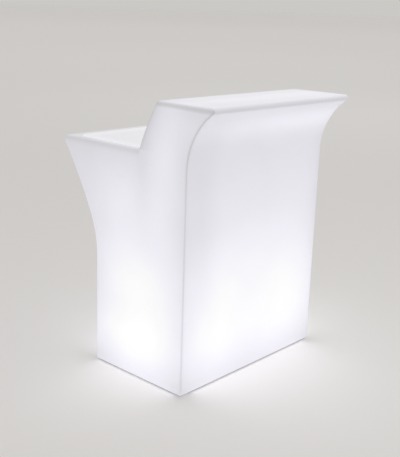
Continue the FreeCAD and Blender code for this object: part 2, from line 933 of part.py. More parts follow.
def service_plate():
    plate = wall_slab(service_x, service_height, service_back, service_length, service_rise,
                      service_thickness, service_corner_r)
    rim = [e for e in plate.Edges if abs(e.CenterOfMass.y - service_face) < service_edge_r / 2]
    plate = plate.makeFillet(service_edge_r, rim)
    start = service_back - overrun
    depth = service_thickness + 2 * overrun
    cuts = [
        wall_block(inlet_x, service_height, start, inlet_barrel_length + 2 * panel_cutout_gap,
                   inlet_barrel_rise + 2 * panel_cutout_gap, depth),
        wall_block(switch_x, service_height, start, switch_housing_length + 2 * panel_cutout_gap,
                   switch_housing_rise + 2 * panel_cutout_gap, depth),
    ]
    for x, z in service_screw_places():
        cuts.append(service_screw(x, z, screw_hole_gap))
    return plate.cut(cuts)


def service_screw(x, z, grow):
    """A countersunk screw in the service plate, made larger all round by grow."""
    face = service_face + grow
    neck = service_face - service_screw_head_height
    end = service_back - service_bush_length + screw_hole_gap
    head_r = service_screw_head_r + grow
    shank_r = service_screw_r + grow
    points = [(0, face), (head_r, face), (shank_r, neck), (shank_r, end), (0, end)]
    outline = [V(x + radius, y, z) for radius, y in points]
    outline.append(outline[0])
    return Part.Face(Part.makePolygon(outline)).revolve(V(x, 0, z), ALONG_Y, 360)


def service_plate_screws():
    return Part.Compound([service_screw(x, z, 0) for x, z in service_screw_places()])


def service_plate_bushes():
    bushes = []
    for x, z in service_screw_places():
        start = V(x, service_back, z)
        bush = rod(service_bush_r, start, service_bush_length, -ALONG_Y)
        bushes.append(bush.cut(rod(service_screw_r, start, service_bush_length, -ALONG_Y)))
    return Part.Compound(bushes)


def pin_places():
    return [
        (inlet_x - pin_spacing, service_height - pin_rise / 2),
        (inlet_x, service_height + earth_pin_lift),
        (inlet_x + pin_spacing, service_height - pin_rise / 2),
    ]


def inlet_body():
    """Flanged inlet with a well for the connector and two lugs for the flap's hinge pin."""
    flange = wall_slab(inlet_x, service_height, service_face, inlet_flange_length,
                       inlet_flange_rise, inlet_flange_thickness, service_corner_r / 2)
    barrel = wall_block(inlet_x, service_height, service_face - inlet_barrel_depth,
                        inlet_barrel_length, inlet_barrel_rise, inlet_barrel_depth)
    lugs = []
    for side in (-1, 1):
        middle = inlet_x + side * (hinge_length / 2 + flap_gap + hinge_lug / 2)
        start = V(middle - hinge_lug / 2, hinge_y, hinge_z)
        foot_z = service_height + inlet_flange_rise / 2 - hinge_r
        lugs.append(rod(hinge_r, start, hinge_lug, ALONG_X))
        lugs.append(Part.makeBox(hinge_lug, inlet_flange_thickness, hinge_z - foot_z,
                                 V(start.x, service_face, foot_z)))
    well = wall_slab(inlet_x, service_height, inlet_face - inlet_well_depth, inlet_well_length,
                     inlet_well_rise, inlet_well_depth + overrun, pin_width)
    cuts = [well, hinge_pin_rod(0)]
    for x, z in pin_places():
        cuts.append(pin_blade(x, z))
    return joined([flange, barrel] + lugs).cut(cuts)


def pin_blade(x, z):
    low = service_face - inlet_barrel_depth - pin_tail
    high = inlet_face - inlet_well_depth + pin_reach
    return wall_block(x, z, low, pin_width, pin_rise, high - low)


def inlet_pins():
    return Part.Compound([pin_blade(x, z) for x, z in pin_places()])


def hinge_pin_rod(grow):
    half = hinge_length / 2 + flap_gap + hinge_lug
    start = V(inlet_x - half, hinge_y, hinge_z)
    return rod(hinge_pin_r + grow, start, 2 * half, ALONG_X)


def inlet_flap():
    """The flap hangs from its knuckle and covers the well, with a lip to lift it by."""
    low_y = inlet_face + flap_gap
    top_z = hinge_z - hinge_web
    bottom_z = top_z - flap_rise
    plate = wall_slab(inlet_x, (top_z + bottom_z) / 2, low_y, flap_length, flap_rise,
                      flap_thickness, service_corner_r / 2)
    lip = wall_block(inlet_x, bottom_z + flap_lip / 2, low_y, flap_length / 2, flap_lip,
                     flap_thickness + flap_lip)
    start = V(inlet_x - hinge_length / 2, hinge_y, hinge_z)
    knuckle = rod(hinge_r, start, hinge_length, ALONG_X)
    web = Part.makeBox(hinge_length, flap_thickness, hinge_web + flap_thickness,
                       V(start.x, low_y, top_z - flap_thickness))
    return joined([plate, lip, knuckle, web]).cut(hinge_pin_rod(running_gap))


def switch_housing():
    flange = wall_slab(switch_x, service_height, service_face, switch_flange_length,
                       switch_flange_rise, switch_flange_thickness, service_corner_r / 2)
    body = wall_block(switch_x, service_height, service_face - switch_housing_depth,
                      switch_housing_length, switch_housing_rise, switch_housing_depth)
    well = wall_block(switch_x, service_height, rocker_y - rocker_well_depth,
                      rocker_length + 2 * rocker_side_gap, 2 * (rocker_r + rocker_side_gap),
                      rocker_well_depth + rocker_sink + overrun)
    cuts = [well, rocker_pins(running_gap)]
    for side in (-1, 1):
        cuts.append(switch_blade(side))
    return joined([flange, body]).cut(cuts)


def rocker_pins(grow):
    half = rocker_length / 2 + rocker_pin_length
    start = V(switch_x - half, rocker_y, service_height)
    return rod(rocker_pin_r + grow, start, 2 * half, ALONG_X)


def switch_rocker():
    """The rocker rests with its upper half pressed, which is on."""
    run = rocker_half_turn
    slope = math.tan(run)
    half = (-rocker_ridge * slope + math.sqrt(
        rocker_r ** 2 * (1 + slope ** 2) - rocker_ridge ** 2)) / (1 + slope ** 2)
    tip = rocker_ridge + half * slope
    skirt_half = math.sqrt(rocker_r ** 2 - rocker_skirt ** 2)
    x = switch_x - rocker_length / 2
    pivot = V(x, rocker_y, service_height)
    ridge = pivot + V(0, rocker_ridge, 0)
    upper_tip = pivot + V(0, tip, half)
    lower_tip = pivot + V(0, tip, -half)
    upper_skirt = pivot + V(0, -rocker_skirt, skirt_half)
    lower_skirt = pivot + V(0, -rocker_skirt, -skirt_half)
    outline = Part.Wire([
        line(ridge, upper_tip),
        arc(pivot, rocker_r, upper_tip, upper_skirt),
        line(upper_skirt, lower_skirt),
        arc(pivot, rocker_r, lower_skirt, lower_tip),
        line(lower_tip, ridge),
    ])
    cap = Part.Face(outline).extrude(ALONG_X * rocker_length)
    rocker = joined([cap, rocker_pins(0)])
    rocker.rotate(pivot, ALONG_X, math.degrees(run))
    return rocker


def switch_blade(side):
    z = service_height + side * blade_spacing / 2
    low = service_face - switch_housing_depth - blade_length
    return wall_block(switch_x, z, low, blade_rise, blade_width, blade_length + blade_root)


def switch_blades():
    return Part.Compound([switch_blade(side) for side in (-1, 1)])


def terminal_shroud():
    """An insulating cover behind the service plate, where the mains lead comes out."""
    back = service_back - shroud_depth
    outer = service_opening(back, shroud_depth, -service_gap)
    inner = service_opening(back + shroud_wall, shroud_depth, -service_gap - shroud_wall)
    hole = rod(lead_r, V(service_x, back - overrun, service_height), shroud_wall + 2 * overrun,
               ALONG_Y)
    return outer.cut([inner, hole])


parts = {
    "body_shell": body_shell,
    "worktop_panel": worktop_panel,
    "worktop_panel_seal": worktop_panel_seal,
    "base_plate": base_plate,
    "base_gasket": base_gasket,
    "base_plate_screws": base_plate_screws,
    "base_plate_bushes": base_plate_bushes,
    "breather_plug": breather_plug,
    "foot_bushes": foot_bushes,
    "lamp_stand_screws": lamp_stand_screws,
    "lampholder_screws": lampholder_screws,
    "junction_box": junction_box,
    "junction_box_lid": junction_box_lid,
    "junction_box_screws": junction_box_screws,
    "terminal_block": terminal_block,
    "cable_glands": cable_glands,
    "mains_lead": mains_lead,
    "cable_saddles": cable_saddles,
    "service_plate": service_plate,
    "service_plate_screws": service_plate_screws,
    "service_plate_bushes": service_plate_bushes,
    "inlet_body": inlet_body,
    "inlet_pins": inlet_pins,
    "inlet_flap": inlet_flap,
    "inlet_flap_pin": lambda: hinge_pin_rod(0),
    "switch_housing": switch_housing,
    "switch_rocker": switch_rocker,
    "switch_blades": switch_blades,
    "terminal_shroud": terminal_shroud,
}

os.makedirs("parts", exist_ok=True)
shapes = {name: make() for name, make in parts.items()}
for corner in CORNERS:
    shapes["foot_stem_" + corner] = foot_stem(corner)
    shapes["foot_pad_" + corner] = foot_pad(corner)
for name, side in SIDES.items():
    shapes["lamp_stand_" + name] = lamp_stand(side)
    shapes["lampholder_" + name] = lampholder(side)
    shapes["lampholder_sleeve_" + name] = lampholder_sleeve(side)
    shapes["lamp_cap_" + name] = lamp_cap(side)
    shapes["lamp_body_" + name] = lamp_body(side)
    shapes["lamp_globe_" + name] = lamp_globe(side)
    shapes["lamp_lead_" + name] = lamp_lead(side)
for name, shape in shapes.items():
    shape.exportStep("parts/" + name + ".step")
    box = shape.BoundBox
    print(name, "solids", len(shape.Solids), "valid", shape.isValid(),
          "size", round(box.XLength, 1), round(box.YLength, 1), round(box.ZLength, 1))
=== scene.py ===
# %% [markdown]
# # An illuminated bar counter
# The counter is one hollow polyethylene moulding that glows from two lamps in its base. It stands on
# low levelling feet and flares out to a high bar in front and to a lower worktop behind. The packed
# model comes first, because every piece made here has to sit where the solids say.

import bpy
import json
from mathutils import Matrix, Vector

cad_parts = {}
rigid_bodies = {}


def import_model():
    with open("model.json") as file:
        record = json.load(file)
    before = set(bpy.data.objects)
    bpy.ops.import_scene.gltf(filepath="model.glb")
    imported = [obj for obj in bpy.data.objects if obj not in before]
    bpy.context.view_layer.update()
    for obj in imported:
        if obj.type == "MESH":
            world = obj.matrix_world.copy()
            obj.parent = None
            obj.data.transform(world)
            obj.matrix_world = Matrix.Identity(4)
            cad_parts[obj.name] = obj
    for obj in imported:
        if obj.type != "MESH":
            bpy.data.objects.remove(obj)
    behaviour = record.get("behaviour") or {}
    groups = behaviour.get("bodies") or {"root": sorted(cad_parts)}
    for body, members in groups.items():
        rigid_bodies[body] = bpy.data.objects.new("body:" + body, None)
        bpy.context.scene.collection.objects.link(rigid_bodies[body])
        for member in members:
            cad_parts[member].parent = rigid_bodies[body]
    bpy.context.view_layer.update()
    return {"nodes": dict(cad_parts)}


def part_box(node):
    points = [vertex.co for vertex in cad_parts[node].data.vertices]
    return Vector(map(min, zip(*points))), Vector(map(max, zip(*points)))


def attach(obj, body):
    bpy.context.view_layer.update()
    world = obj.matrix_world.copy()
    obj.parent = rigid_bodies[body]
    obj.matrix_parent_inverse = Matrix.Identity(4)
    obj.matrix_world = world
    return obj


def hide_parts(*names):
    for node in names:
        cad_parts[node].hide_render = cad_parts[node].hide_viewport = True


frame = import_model()

# %% [markdown]
# ## Units and colours
# Blender works in metres, but a counter is drawn in millimetres, so each mesh is scaled once when it
# is finished. Colours are written as the sRGB hex values that a colour picker shows, while a shader
# needs linear light, so one function turns them over.

# %% Units and colours
import json
import math

import bmesh
import bpy
from mathutils import Matrix, Vector

MM = 0.001


def linear(hex_colour):
    """An sRGB hex colour as linear red, green, blue and alpha."""
    channels = [int(hex_colour[i:i + 2], 16) / 255 for i in (1, 3, 5)]
    return [c / 12.92 if c <= 0.04045 else ((c + 0.055) / 1.055) ** 2.4 for c in channels] + [1.0]


print("a mid grey in linear light:", [round(c, 3) for c in linear("#808080")])

# %% [markdown]
# ## The camera
# The photograph looks at the corner between the front and the left end from a little above. The
# place, the aim and the slight roll were found by laying the solids' outline over the picture until
# the edges met. The three directions go into the camera's matrix as columns.

# %% The camera
camera_place = Vector((-2393.0, -2142.6, 1421.1)) * MM
camera_right = Vector((0.6764, -0.7359, 0.0318))
camera_ahead = Vector((0.7151, 0.6457, -0.2676)).normalized()

camera_data = bpy.data.cameras.new("camera")
camera_data.lens = 62.70
camera_data.sensor_width = 36.0
camera = bpy.data.objects.new("camera", camera_data)
camera_up = camera_right.cross(camera_ahead).normalized()
camera_right = camera_ahead.cross(camera_up)
turned = Matrix((camera_right, camera_up, -camera_ahead)).transposed()
camera.matrix_world = Matrix.Translation(camera_place) @ turned.to_4x4()
bpy.context.scene.collection.objects.link(camera)
bpy.context.scene.camera = camera
print("camera at", [round(c, 2) for c in camera.location], "with a lens of", camera_data.lens, "mm")

# %% [markdown]
# ## Materials are wired, not painted
# Every finish below is a small tree of nodes. One function adds any node, with numbers or links for
# its sockets. A few shorter ones add the kinds of node that come again and again.

# %% Functions that add nodes
def add(tree, kind, sockets=(), out=0, **options):
    """Adds a node and returns one of its outputs. A socket is given a value or another output."""
    made = tree.nodes.new("ShaderNode" + kind)
    for name, value in options.items():
        setattr(made, name, value)
    for name, value in dict(sockets).items():
        socket = made.inputs[name] if isinstance(name, int) else next(
            s for s in made.inputs if s.enabled and s.name == name)
        if isinstance(value, bpy.types.NodeSocket):
            tree.links.new(value, socket)
        else:
            socket.default_value = value
    outputs = [s for s in made.outputs if s.enabled]
    return next((s for s in outputs if s.name == out), outputs[0]) if outputs else made


def new_material(name, **constants):
    """A material, its tree, its surface shader's sockets and the place in the object, in metres."""
    material = bpy.data.materials.new(name)
    material.use_nodes = True
    tree = material.node_tree
    tree.nodes.clear()
    surface = add(tree, "BsdfPrincipled", {key.replace("_", " "): value for key, value in constants.items()})
    add(tree, "OutputMaterial", {"Surface": surface})
    return material, tree, surface.node.inputs, add(tree, "TexCoord", out="Object")


def wire(tree, surface, **sources):
    """Links outputs to the surface shader's sockets."""
    for name, source in sources.items():
        tree.links.new(source, surface[name.replace("_", " ")])


def calc(tree, operation, *values):
    """A sum on up to three numbers or outputs."""
    return add(tree, "Math", enumerate(values), operation=operation)


def ramp(tree, value, low, high, start=0.0, end=1.0):
    """Runs from start to end while a value runs from low to high."""
    return add(tree, "MapRange", {"Value": value, "From Min": low, "From Max": high, "To Min": start, "To Max": end})


def blend(tree, share, first, second):
    """A colour on the way between two, each a hex colour or an output."""
    first, second = (linear(c) if isinstance(c, str) else c for c in (first, second))
    return add(tree, "Mix", {"Factor": share, "A": first, "B": second}, data_type="RGBA")


def per(size_mm):
    """The scale of a pattern whose grain is this wide, for coordinates in metres."""
    return 1 / (size_mm * MM)


def noise(tree, place, size_mm, detail):
    """A cloudy pattern with a grain of this size."""
    return add(tree, "TexNoise", {"Vector": place, "Scale": per(size_mm), "Detail": detail})


def spread(tree, pattern, low, high):
    """A noise, which seldom leaves the range from 0.3 to 0.7, spread from low to high."""
    return ramp(tree, pattern, 0.3, 0.7, low, high)


def relief(tree, pattern, strength, depth_mm):
    """A pattern that stands in relief."""
    return add(tree, "Bump", {"Height": pattern, "Strength": strength, "Distance": depth_mm * MM})


def split(tree, vector):
    """The X, Y and Z of a vector."""
    return add(tree, "SeparateXYZ", {"Vector": vector}).node.outputs


print("a 2 mm grain has scale", per(2))

# %% [markdown]
# ## The studio
# The background is one pale sheet of warm grey that runs out of sight. The sky is as bright as the
# sheet at the horizon, so no seam shows, and a little brighter overhead, where a wide softbox hangs
# too. Three more softboxes light the sheet behind the counter, which sets the body off. The display
# transform is the plain one, so that a tone in a material is the tone on the screen.

# %% The floor
FLOOR_R = 400

scene = bpy.context.scene
scene.view_settings.view_transform = "Standard"

paper_sheet = bmesh.new()
bmesh.ops.create_circle(paper_sheet, cap_ends=True, segments=96, radius=FLOOR_R)
floor_data = bpy.data.meshes.new("floor")
paper_sheet.to_mesh(floor_data)
paper_sheet.free()
floor = bpy.data.objects.new("floor", floor_data)
scene.collection.objects.link(floor)

paper, tree, surface, place = new_material("studio_paper", Roughness=0.9, Specular_IOR_Level=0.2)
fibre = noise(tree, place, 4, 2.0)
wire(tree, surface, Base_Color=blend(tree, fibre, "#e5e4e3", "#e9e8e6"))
floor_data.materials.append(paper)
print("floor", len(floor_data.polygons), "face")

# %% The sky and the softboxes
studio = bpy.data.worlds.new("studio")
studio.use_nodes = True
tree = studio.node_tree
climb = split(tree, add(tree, "TexCoord", out="Generated"))["Z"]
sky = blend(tree, climb, "#cbc9c5", "#e7e5e3")
tree.links.new(sky, tree.nodes["Background"].inputs["Color"])
scene.world = studio


def softbox(name, place, aim, size, brightness, colour="#ffffff"):
    """A rectangular lamp, out of the camera's sight, that looks from one place towards another."""
    data = bpy.data.lights.new(name, "AREA")
    data.shape = "RECTANGLE"
    data.size, data.size_y = size
    data.energy = brightness * math.pi * size[0] * size[1]
    data.color = linear(colour)[:3]
    lamp = bpy.data.objects.new(name, data)
    lamp.location = place
    lamp.rotation_mode = "QUATERNION"
    lamp.rotation_quaternion = (Vector(aim) - Vector(place)).to_track_quat("-Z", "Y")
    lamp.visible_camera = False
    scene.collection.objects.link(lamp)


softbox("overhead", (0.8, -0.7, 3.5), (0, 0, 0), (3.0, 3.0), 0.33)
for name, (x, y, z), size, brightness in (
    ("backdrop_near", (7.0, 4.6, 4.0), 5.0, 0.17),
    ("backdrop_far", (14.5, 11.9, 9.0), 12.0, 0.10),
    ("backdrop_horizon", (34.0, 28.0, 22.0), 36.0, 0.07),
):
    softbox(name, (x, y, z), (x, y, 0.0), (size, size), brightness)

# %% [markdown]
# The glowing walls light the floor round the foot, more than their own tones would, since a photograph
# shows anything brighter than white as white. The missing part comes from hidden softboxes just
# outside each wall that look away from it, a strong one that nearly reaches the floor and a weaker
# one above it. Only the gap under the base stays dark.

# %% The walls' spill
SPILL_HEIGHT = 0.45
SPILL_FOOT = 0.001
SPILL_COLOUR = "#f6f6ff"
SPILL_ROWS = (("_low", 0.5, 1.0), ("_high", 1.5, 0.35))

for name, (x, y), (ahead_x, ahead_y), width, brightness in (
    ("spill_front", (0.01, -0.2821), (0, -1), 0.72, 0.80),
    ("spill_rear", (0.01, 0.212), (0, 1), 0.72, 0.80),
    ("spill_left", (-0.4116, -0.03), (-1, 0), 0.44, 0.74),
    ("spill_right", (0.4116, -0.03), (1, 0), 0.44, 0.74),
):
    for row, heights_up, share in SPILL_ROWS:
        z = SPILL_FOOT + SPILL_HEIGHT * heights_up
        softbox(name + row, (x, y, z), (x + ahead_x, y + ahead_y, z), (width, SPILL_HEIGHT),
                brightness * share, SPILL_COLOUR)

# %% [markdown]
# ## The body's side outline
# Seen from its end, the counter is one closed line: straight up the front, out in a wide flare to
# the bar's rim, back along the top, down a slightly bulging riser to the worktop, over its rim, in
# again through two long curves, and down to the base. A single vertex walks along it: a straight run
# is an extrusion, and an arc is a spin about the arc's centre.

# %% Sizes of the body, in millimetres
WIDTH = 822.0
HEIGHT = 1100.0
WORKTOP = 914.0
GROUND_GAP = 4.0
WALL = 6.0
FRONT_TIP = -398.5
REAR_TIP = 398.5
FRONT = -281.5
REAR = 202.5
BASE_MIDDLE = (FRONT + REAR) / 2
TOP_REAR = -127.5
RISER_FOOT = -36.5
RISER_BULGE = 5.0
FRONT_BEND = 862.0
REAR_BEND = 450.0
REAR_BEND_R = 400.0
REAR_TURN = math.radians(25)
FRONT_RIM_R = 12.0
REAR_RIM_R = 20.0
TOP_REAR_R = 12.0
RISER_FOOT_R = 14.0
BASE_EDGE_R = 10.0
END_EDGE_R = 9.0
ROUNDNESS = 0.05
FINE = 0.01

# %% [markdown]
# The centres of the arcs follow from the sizes, because each curve has to meet the next without a
# kink. Two circles touch smoothly where the line between their centres crosses them.

# %% Centres of the arcs, as (y, z)
front_rim = Vector((FRONT_TIP + FRONT_RIM_R, HEIGHT - FRONT_RIM_R))
rise = front_rim.y - FRONT_BEND
reach = FRONT - front_rim.x
front_flare_r = (reach ** 2 + rise ** 2 - FRONT_RIM_R ** 2) / (2 * (reach + FRONT_RIM_R))
front_flare = Vector((FRONT - front_flare_r, FRONT_BEND))

rear_rim = Vector((REAR_TIP - REAR_RIM_R, WORKTOP - REAR_RIM_R))
lower_flare = Vector((REAR + REAR_BEND_R, REAR_BEND))
outward = Vector((math.cos(REAR_TURN), -math.sin(REAR_TURN)))
flare_joint = lower_flare - outward * REAR_BEND_R
offset = flare_joint - rear_rim
upper_flare_r = (offset.length_squared - REAR_RIM_R ** 2) / (2 * (REAR_RIM_R - outward.dot(offset)))
upper_flare = flare_joint + outward * upper_flare_r

riser_chord = Vector((TOP_REAR - RISER_FOOT, HEIGHT - WORKTOP))
riser_r = (riser_chord.length_squared / 4 + RISER_BULGE ** 2) / (2 * RISER_BULGE)
riser_out = Vector((riser_chord.y, -riser_chord.x)).normalized()
riser = Vector((RISER_FOOT, WORKTOP)) + riser_chord / 2 - riser_out * (riser_r - RISER_BULGE)

top_rear_z = HEIGHT - TOP_REAR_R
top_rear = Vector((riser.x + math.sqrt((riser_r - TOP_REAR_R) ** 2 - (top_rear_z - riser.y) ** 2), top_rear_z))
foot_z = WORKTOP + RISER_FOOT_R
riser_foot = Vector((riser.x + math.sqrt((riser_r + RISER_FOOT_R) ** 2 - (foot_z - riser.y) ** 2), foot_z))
print("radii: front flare", round(front_flare_r, 1), "rear flare", round(upper_flare_r, 1), "riser", round(riser_r, 1))


# %% A vertex that walks
def toward(start, end, distance):
    """The point at a distance from start on the way to end."""
    return start + (end - start).normalized() * distance


def line_to(bm, corner, point):
    """Draws a straight run to a (y, z) point and returns the vertex there."""
    new = bmesh.ops.extrude_vert_indiv(bm, verts=[corner])["verts"][0]
    new.co = (corner.co.x, *point)
    return new


def arc_to(bm, corner, centre, point, roundness):
    """Draws an arc about a centre to a (y, z) point and returns the vertex there."""
    start = Vector(corner.co.yz) - centre
    turn = -start.angle_signed(point - centre)
    step = 2 * math.acos(1 - roundness / start.length)
    drawn = bmesh.ops.spin(bm, geom=[corner], cent=(corner.co.x, *centre), axis=(1, 0, 0),
                           angle=turn, steps=math.ceil(abs(turn) / step))
    return drawn["geom_last"][0]


def walk(bm, x, path, roundness):
    """Draws a closed outline of rows (an arc's centre or None, point) and returns its edges."""
    old = set(bm.verts)
    here = bm.verts.new((x, *path[-1][1]))
    for centre, point in path:
        here = line_to(bm, here, point) if centre is None else arc_to(bm, here, centre, point, roundness)
    bmesh.ops.remove_doubles(bm, verts=[v for v in bm.verts if v not in old], dist=roundness)
    return [e for e in bm.edges if old.isdisjoint(e.verts)]


trial = bmesh.new()
half_disc = [(Vector((0, 0)), Vector((0, -10))), (None, Vector((0, 10)))]
print("a half disc of 10 mm radius has", len(walk(trial, 0, half_disc, ROUNDNESS)), "edges")
trial.free()

# %% [markdown]
# ## From the outline to the body
# The outline is drawn out across the width, both ends are closed, and a bevel rounds the edge of each
# end. The body, a hinge's knuckle and a rocker are all prisms of this kind, so one tool makes them.

# %% A prism along x
def verts_in(geom):
    """The vertices among the things that an operator made."""
    return [g for g in geom if isinstance(g, bmesh.types.BMVert)]


def edges_where(bm, test):
    """The edges whose ends both pass a test of their place."""
    return [e for e in bm.edges if all(test(v.co) for v in e.verts)]


def face_outward(bm):
    """Turns all faces outward."""
    bmesh.ops.recalc_face_normals(bm, faces=bm.faces)


def round_edges(bm, edges, radius, segments=4):
    """Rounds edges, as the corners of a mould do."""
    bmesh.ops.bevel(bm, geom=edges, offset=radius, offset_type="OFFSET", segments=segments,
                    profile=0.5, affect="EDGES", material=-1)


def prism(bm, x, length, path, edge_r=0.0, roundness=FINE, segments=3):
    """Walks a (y, z) outline, draws it out along x, closes it and rounds both end rims."""
    old = set(bm.verts)
    outline = walk(bm, x, path, roundness)
    drawn = bmesh.ops.extrude_edge_only(bm, edges=outline)["geom"]
    bmesh.ops.translate(bm, vec=(length, 0, 0), verts=verts_in(drawn))
    rims = []
    for end in (x, x + length):
        rim = [e for e in edges_where(bm, lambda co: abs(co.x - end) < FINE) if old.isdisjoint(e.verts)]
        bmesh.ops.edgeloop_fill(bm, edges=rim)
        rims += rim
    face_outward(bm)
    if edge_r:
        round_edges(bm, rims, edge_r, segments)


trial = bmesh.new()
prism(trial, 0, 10, [(None, Vector(p)) for p in ((4, 0), (4, 3), (0, 3), (0, 0))])
print("a 10 by 4 by 3 mm prism holds", round(trial.calc_volume(signed=True), 1), "mm3")
trial.free()

# %% The body
END_EDGE_SEGMENTS = 6

shell = bmesh.new()
base_front = Vector((FRONT + BASE_EDGE_R, GROUND_GAP + BASE_EDGE_R))
base_rear = Vector((REAR - BASE_EDGE_R, GROUND_GAP + BASE_EDGE_R))
prism(shell, -WIDTH / 2, WIDTH, (
    (None, Vector((FRONT, FRONT_BEND))),
    (front_flare, toward(front_flare, front_rim, front_flare_r)),
    (front_rim, Vector((front_rim.x, HEIGHT))),
    (None, Vector((top_rear.x, HEIGHT))),
    (top_rear, toward(riser, top_rear, riser_r)),
    (riser, toward(riser, riser_foot, riser_r)),
    (riser_foot, Vector((riser_foot.x, WORKTOP))),
    (None, Vector((rear_rim.x, WORKTOP))),
    (rear_rim, toward(upper_flare, rear_rim, upper_flare_r)),
    (upper_flare, flare_joint),
    (lower_flare, Vector((REAR, REAR_BEND))),
    (None, Vector((REAR, base_rear.y))),
    (base_rear, Vector((base_rear.x, GROUND_GAP))),
    (None, Vector((base_front.x, GROUND_GAP))),
    (base_front, Vector((FRONT, base_front.y))),
), END_EDGE_R, ROUNDNESS, END_EDGE_SEGMENTS)
print("body:", len(shell.faces), "faces, all outward:", shell.calc_volume(signed=True) > 0)

# %% [markdown]
# ## Openings and pockets
# The worktop has a shallow bed for its panel, the base has a hatch and four pockets for the feet, and
# the rear wall has a window behind the service plate. Each is cut in the same way: a flat face with
# the opening's outline, the cutter, is laid in the wall, the wall is filled again round it, and the
# cutter is pushed in, which leaves walls behind it.

# %% Tools for openings
UP = Vector((0, 0, 1))
DOWN = -UP
BACK = Vector((0, 1, 0))
UPRIGHT = Matrix.Rotation(math.radians(90), 4, "X")
CORNER_SEGMENTS = 10


def round_plate(bm, place, size, radius, near_radius=None, stand=False):
    """A flat face with round corners. One that stands looks along y, any other along z."""
    flat = Matrix.Diagonal((size[0], size[1], 1, 1))
    corners = bmesh.ops.create_grid(bm, x_segments=1, y_segments=1, size=0.5, matrix=flat)["verts"]
    face = corners[0].link_faces[0]
    for side, corner_r in ((1, radius), (-1, radius if near_radius is None else near_radius)):
        if corner_r > 0:
            chosen = [v for v in face.verts if v.co.y * side > 0 and v in corners]
            rounded = bmesh.ops.bevel(bm, geom=chosen, offset=corner_r, offset_type="OFFSET",
                                      segments=CORNER_SEGMENTS, profile=0.5, affect="VERTICES", material=-1)["verts"]
            face = rounded[0].link_faces[0]
    turn = UPRIGHT if stand else Matrix()
    bmesh.ops.transform(bm, matrix=Matrix.Translation(place) @ turn, verts=face.verts)
    return face


def disc(bm, place, radius, stand=False, segments=32):
    """A flat round face."""
    turn = UPRIGHT if stand else Matrix()
    rim = bmesh.ops.create_circle(bm, cap_ends=True, segments=segments, radius=radius,
                                  matrix=Matrix.Translation(place) @ turn)["verts"]
    return rim[0].link_faces[0]


def face_at(bm, facing, place):
    """The face that looks along a direction and holds a point."""
    for face in bm.faces:
        level = (face.verts[0].co - place).dot(face.normal)
        if face.normal.dot(facing) > 0.999 and abs(level) < ROUNDNESS:
            if bmesh.geometry.intersect_face_point(face, place):
                return face
    raise ValueError(f"no face at {place[:]}")


def lay_in(bm, wall, cutters):
    """Opens a flat wall round its cutters and fills it again up to their rims."""
    rims = list(wall.edges) + [e for cutter in cutters for e in cutter.edges]
    facing = wall.normal.copy()
    bmesh.ops.delete(bm, geom=[wall], context="FACES_ONLY")
    bmesh.ops.triangle_fill(bm, edges=rims, use_beauty=True, normal=facing)


def push(bm, face, move):
    """Moves a face and leaves walls between its old place and the new one."""
    moved = bmesh.ops.extrude_discrete_faces(bm, faces=[face])["faces"][0]
    bmesh.ops.translate(bm, vec=move, verts=moved.verts)
    return moved


def shrink(bm, face, distance):
    """Draws a face in and leaves a ledge round it."""
    bmesh.ops.inset_individual(bm, faces=[face], thickness=distance, use_even_offset=True)
    return face


def bore(bm, facing, place, depth, outline, *sizes):
    """Lays an outline in the face at a place and pushes it in, or out if the depth is negative."""
    wall = face_at(bm, facing, place)
    cutter = outline(bm, place, *sizes, stand=facing.z == 0)
    lay_in(bm, wall, [cutter])
    end = push(bm, cutter, -facing * depth)
    face_outward(bm)
    return end


trial = bmesh.new()
print("a 20 by 10 mm plate with 2 mm corners:", round(round_plate(trial, Vector(), (20, 10), 2).calc_area(), 1), "mm2")
trial.free()

# %% The worktop's bed
PANEL_REAR_RIM = 58.0
PANEL_END_RIM = 28.0
PANEL_RISER_GAP = 11.0
PANEL_GAP = 0.5
PANEL_REAR_CORNER_R = 40.0
PANEL_RISER_CORNER_R = 12.0
BED_DEPTH = 7.0

panel_near = RISER_FOOT + PANEL_RISER_GAP
panel_far = REAR_TIP - PANEL_REAR_RIM
panel_middle = (panel_near + panel_far) / 2
panel_size = (WIDTH - 2 * PANEL_END_RIM, panel_far - panel_near)
bed_size = [s + 2 * PANEL_GAP for s in panel_size]
bore(shell, UP, Vector((0, panel_middle, WORKTOP)), BED_DEPTH, round_plate, bed_size,
     PANEL_REAR_CORNER_R + PANEL_GAP, PANEL_RISER_CORNER_R + PANEL_GAP)
print("worktop bed", bed_size, "mm,", BED_DEPTH, "mm deep")

# %% The hatch and the foot pockets in the base
HATCH = (660.0, 220.0)
HATCH_CORNER_R = 24.0
HATCH_GAP = 1.0
HATCH_DEPTH = 5.0
LEDGE = 20.0
HATCH_WELL_R = 3.5
HATCH_WELL_DEPTH = 8.0
FOOT_INSET = 55.0
POCKET_R = 28.0
POCKET_DEPTH = 12.0
BUSH_R = 8.0
BUSH_DEPTH = 24.0

foot_places = [Vector((side_x * (WIDTH / 2 - FOOT_INSET), middle_y, GROUND_GAP))
               for side_x in (-1, 1) for middle_y in (FRONT + FOOT_INSET, REAR - FOOT_INSET)]
base_middle = Vector((0, BASE_MIDDLE, GROUND_GAP))
base_wall = face_at(shell, DOWN, base_middle)
hatch = round_plate(shell, base_middle, [s + 2 * HATCH_GAP for s in HATCH], HATCH_CORNER_R + HATCH_GAP)
pockets = [disc(shell, place, POCKET_R, segments=48) for place in foot_places]
lay_in(shell, base_wall, [hatch] + pockets)
for pocket in pockets:
    roof = push(shell, pocket, UP * POCKET_DEPTH)
    push(shell, shrink(shell, roof, POCKET_R - BUSH_R), UP * BUSH_DEPTH)
hatch = shrink(shell, push(shell, hatch, UP * HATCH_DEPTH), LEDGE + HATCH_GAP)
bmesh.ops.delete(shell, geom=[hatch], context="FACES_ONLY")
face_outward(shell)

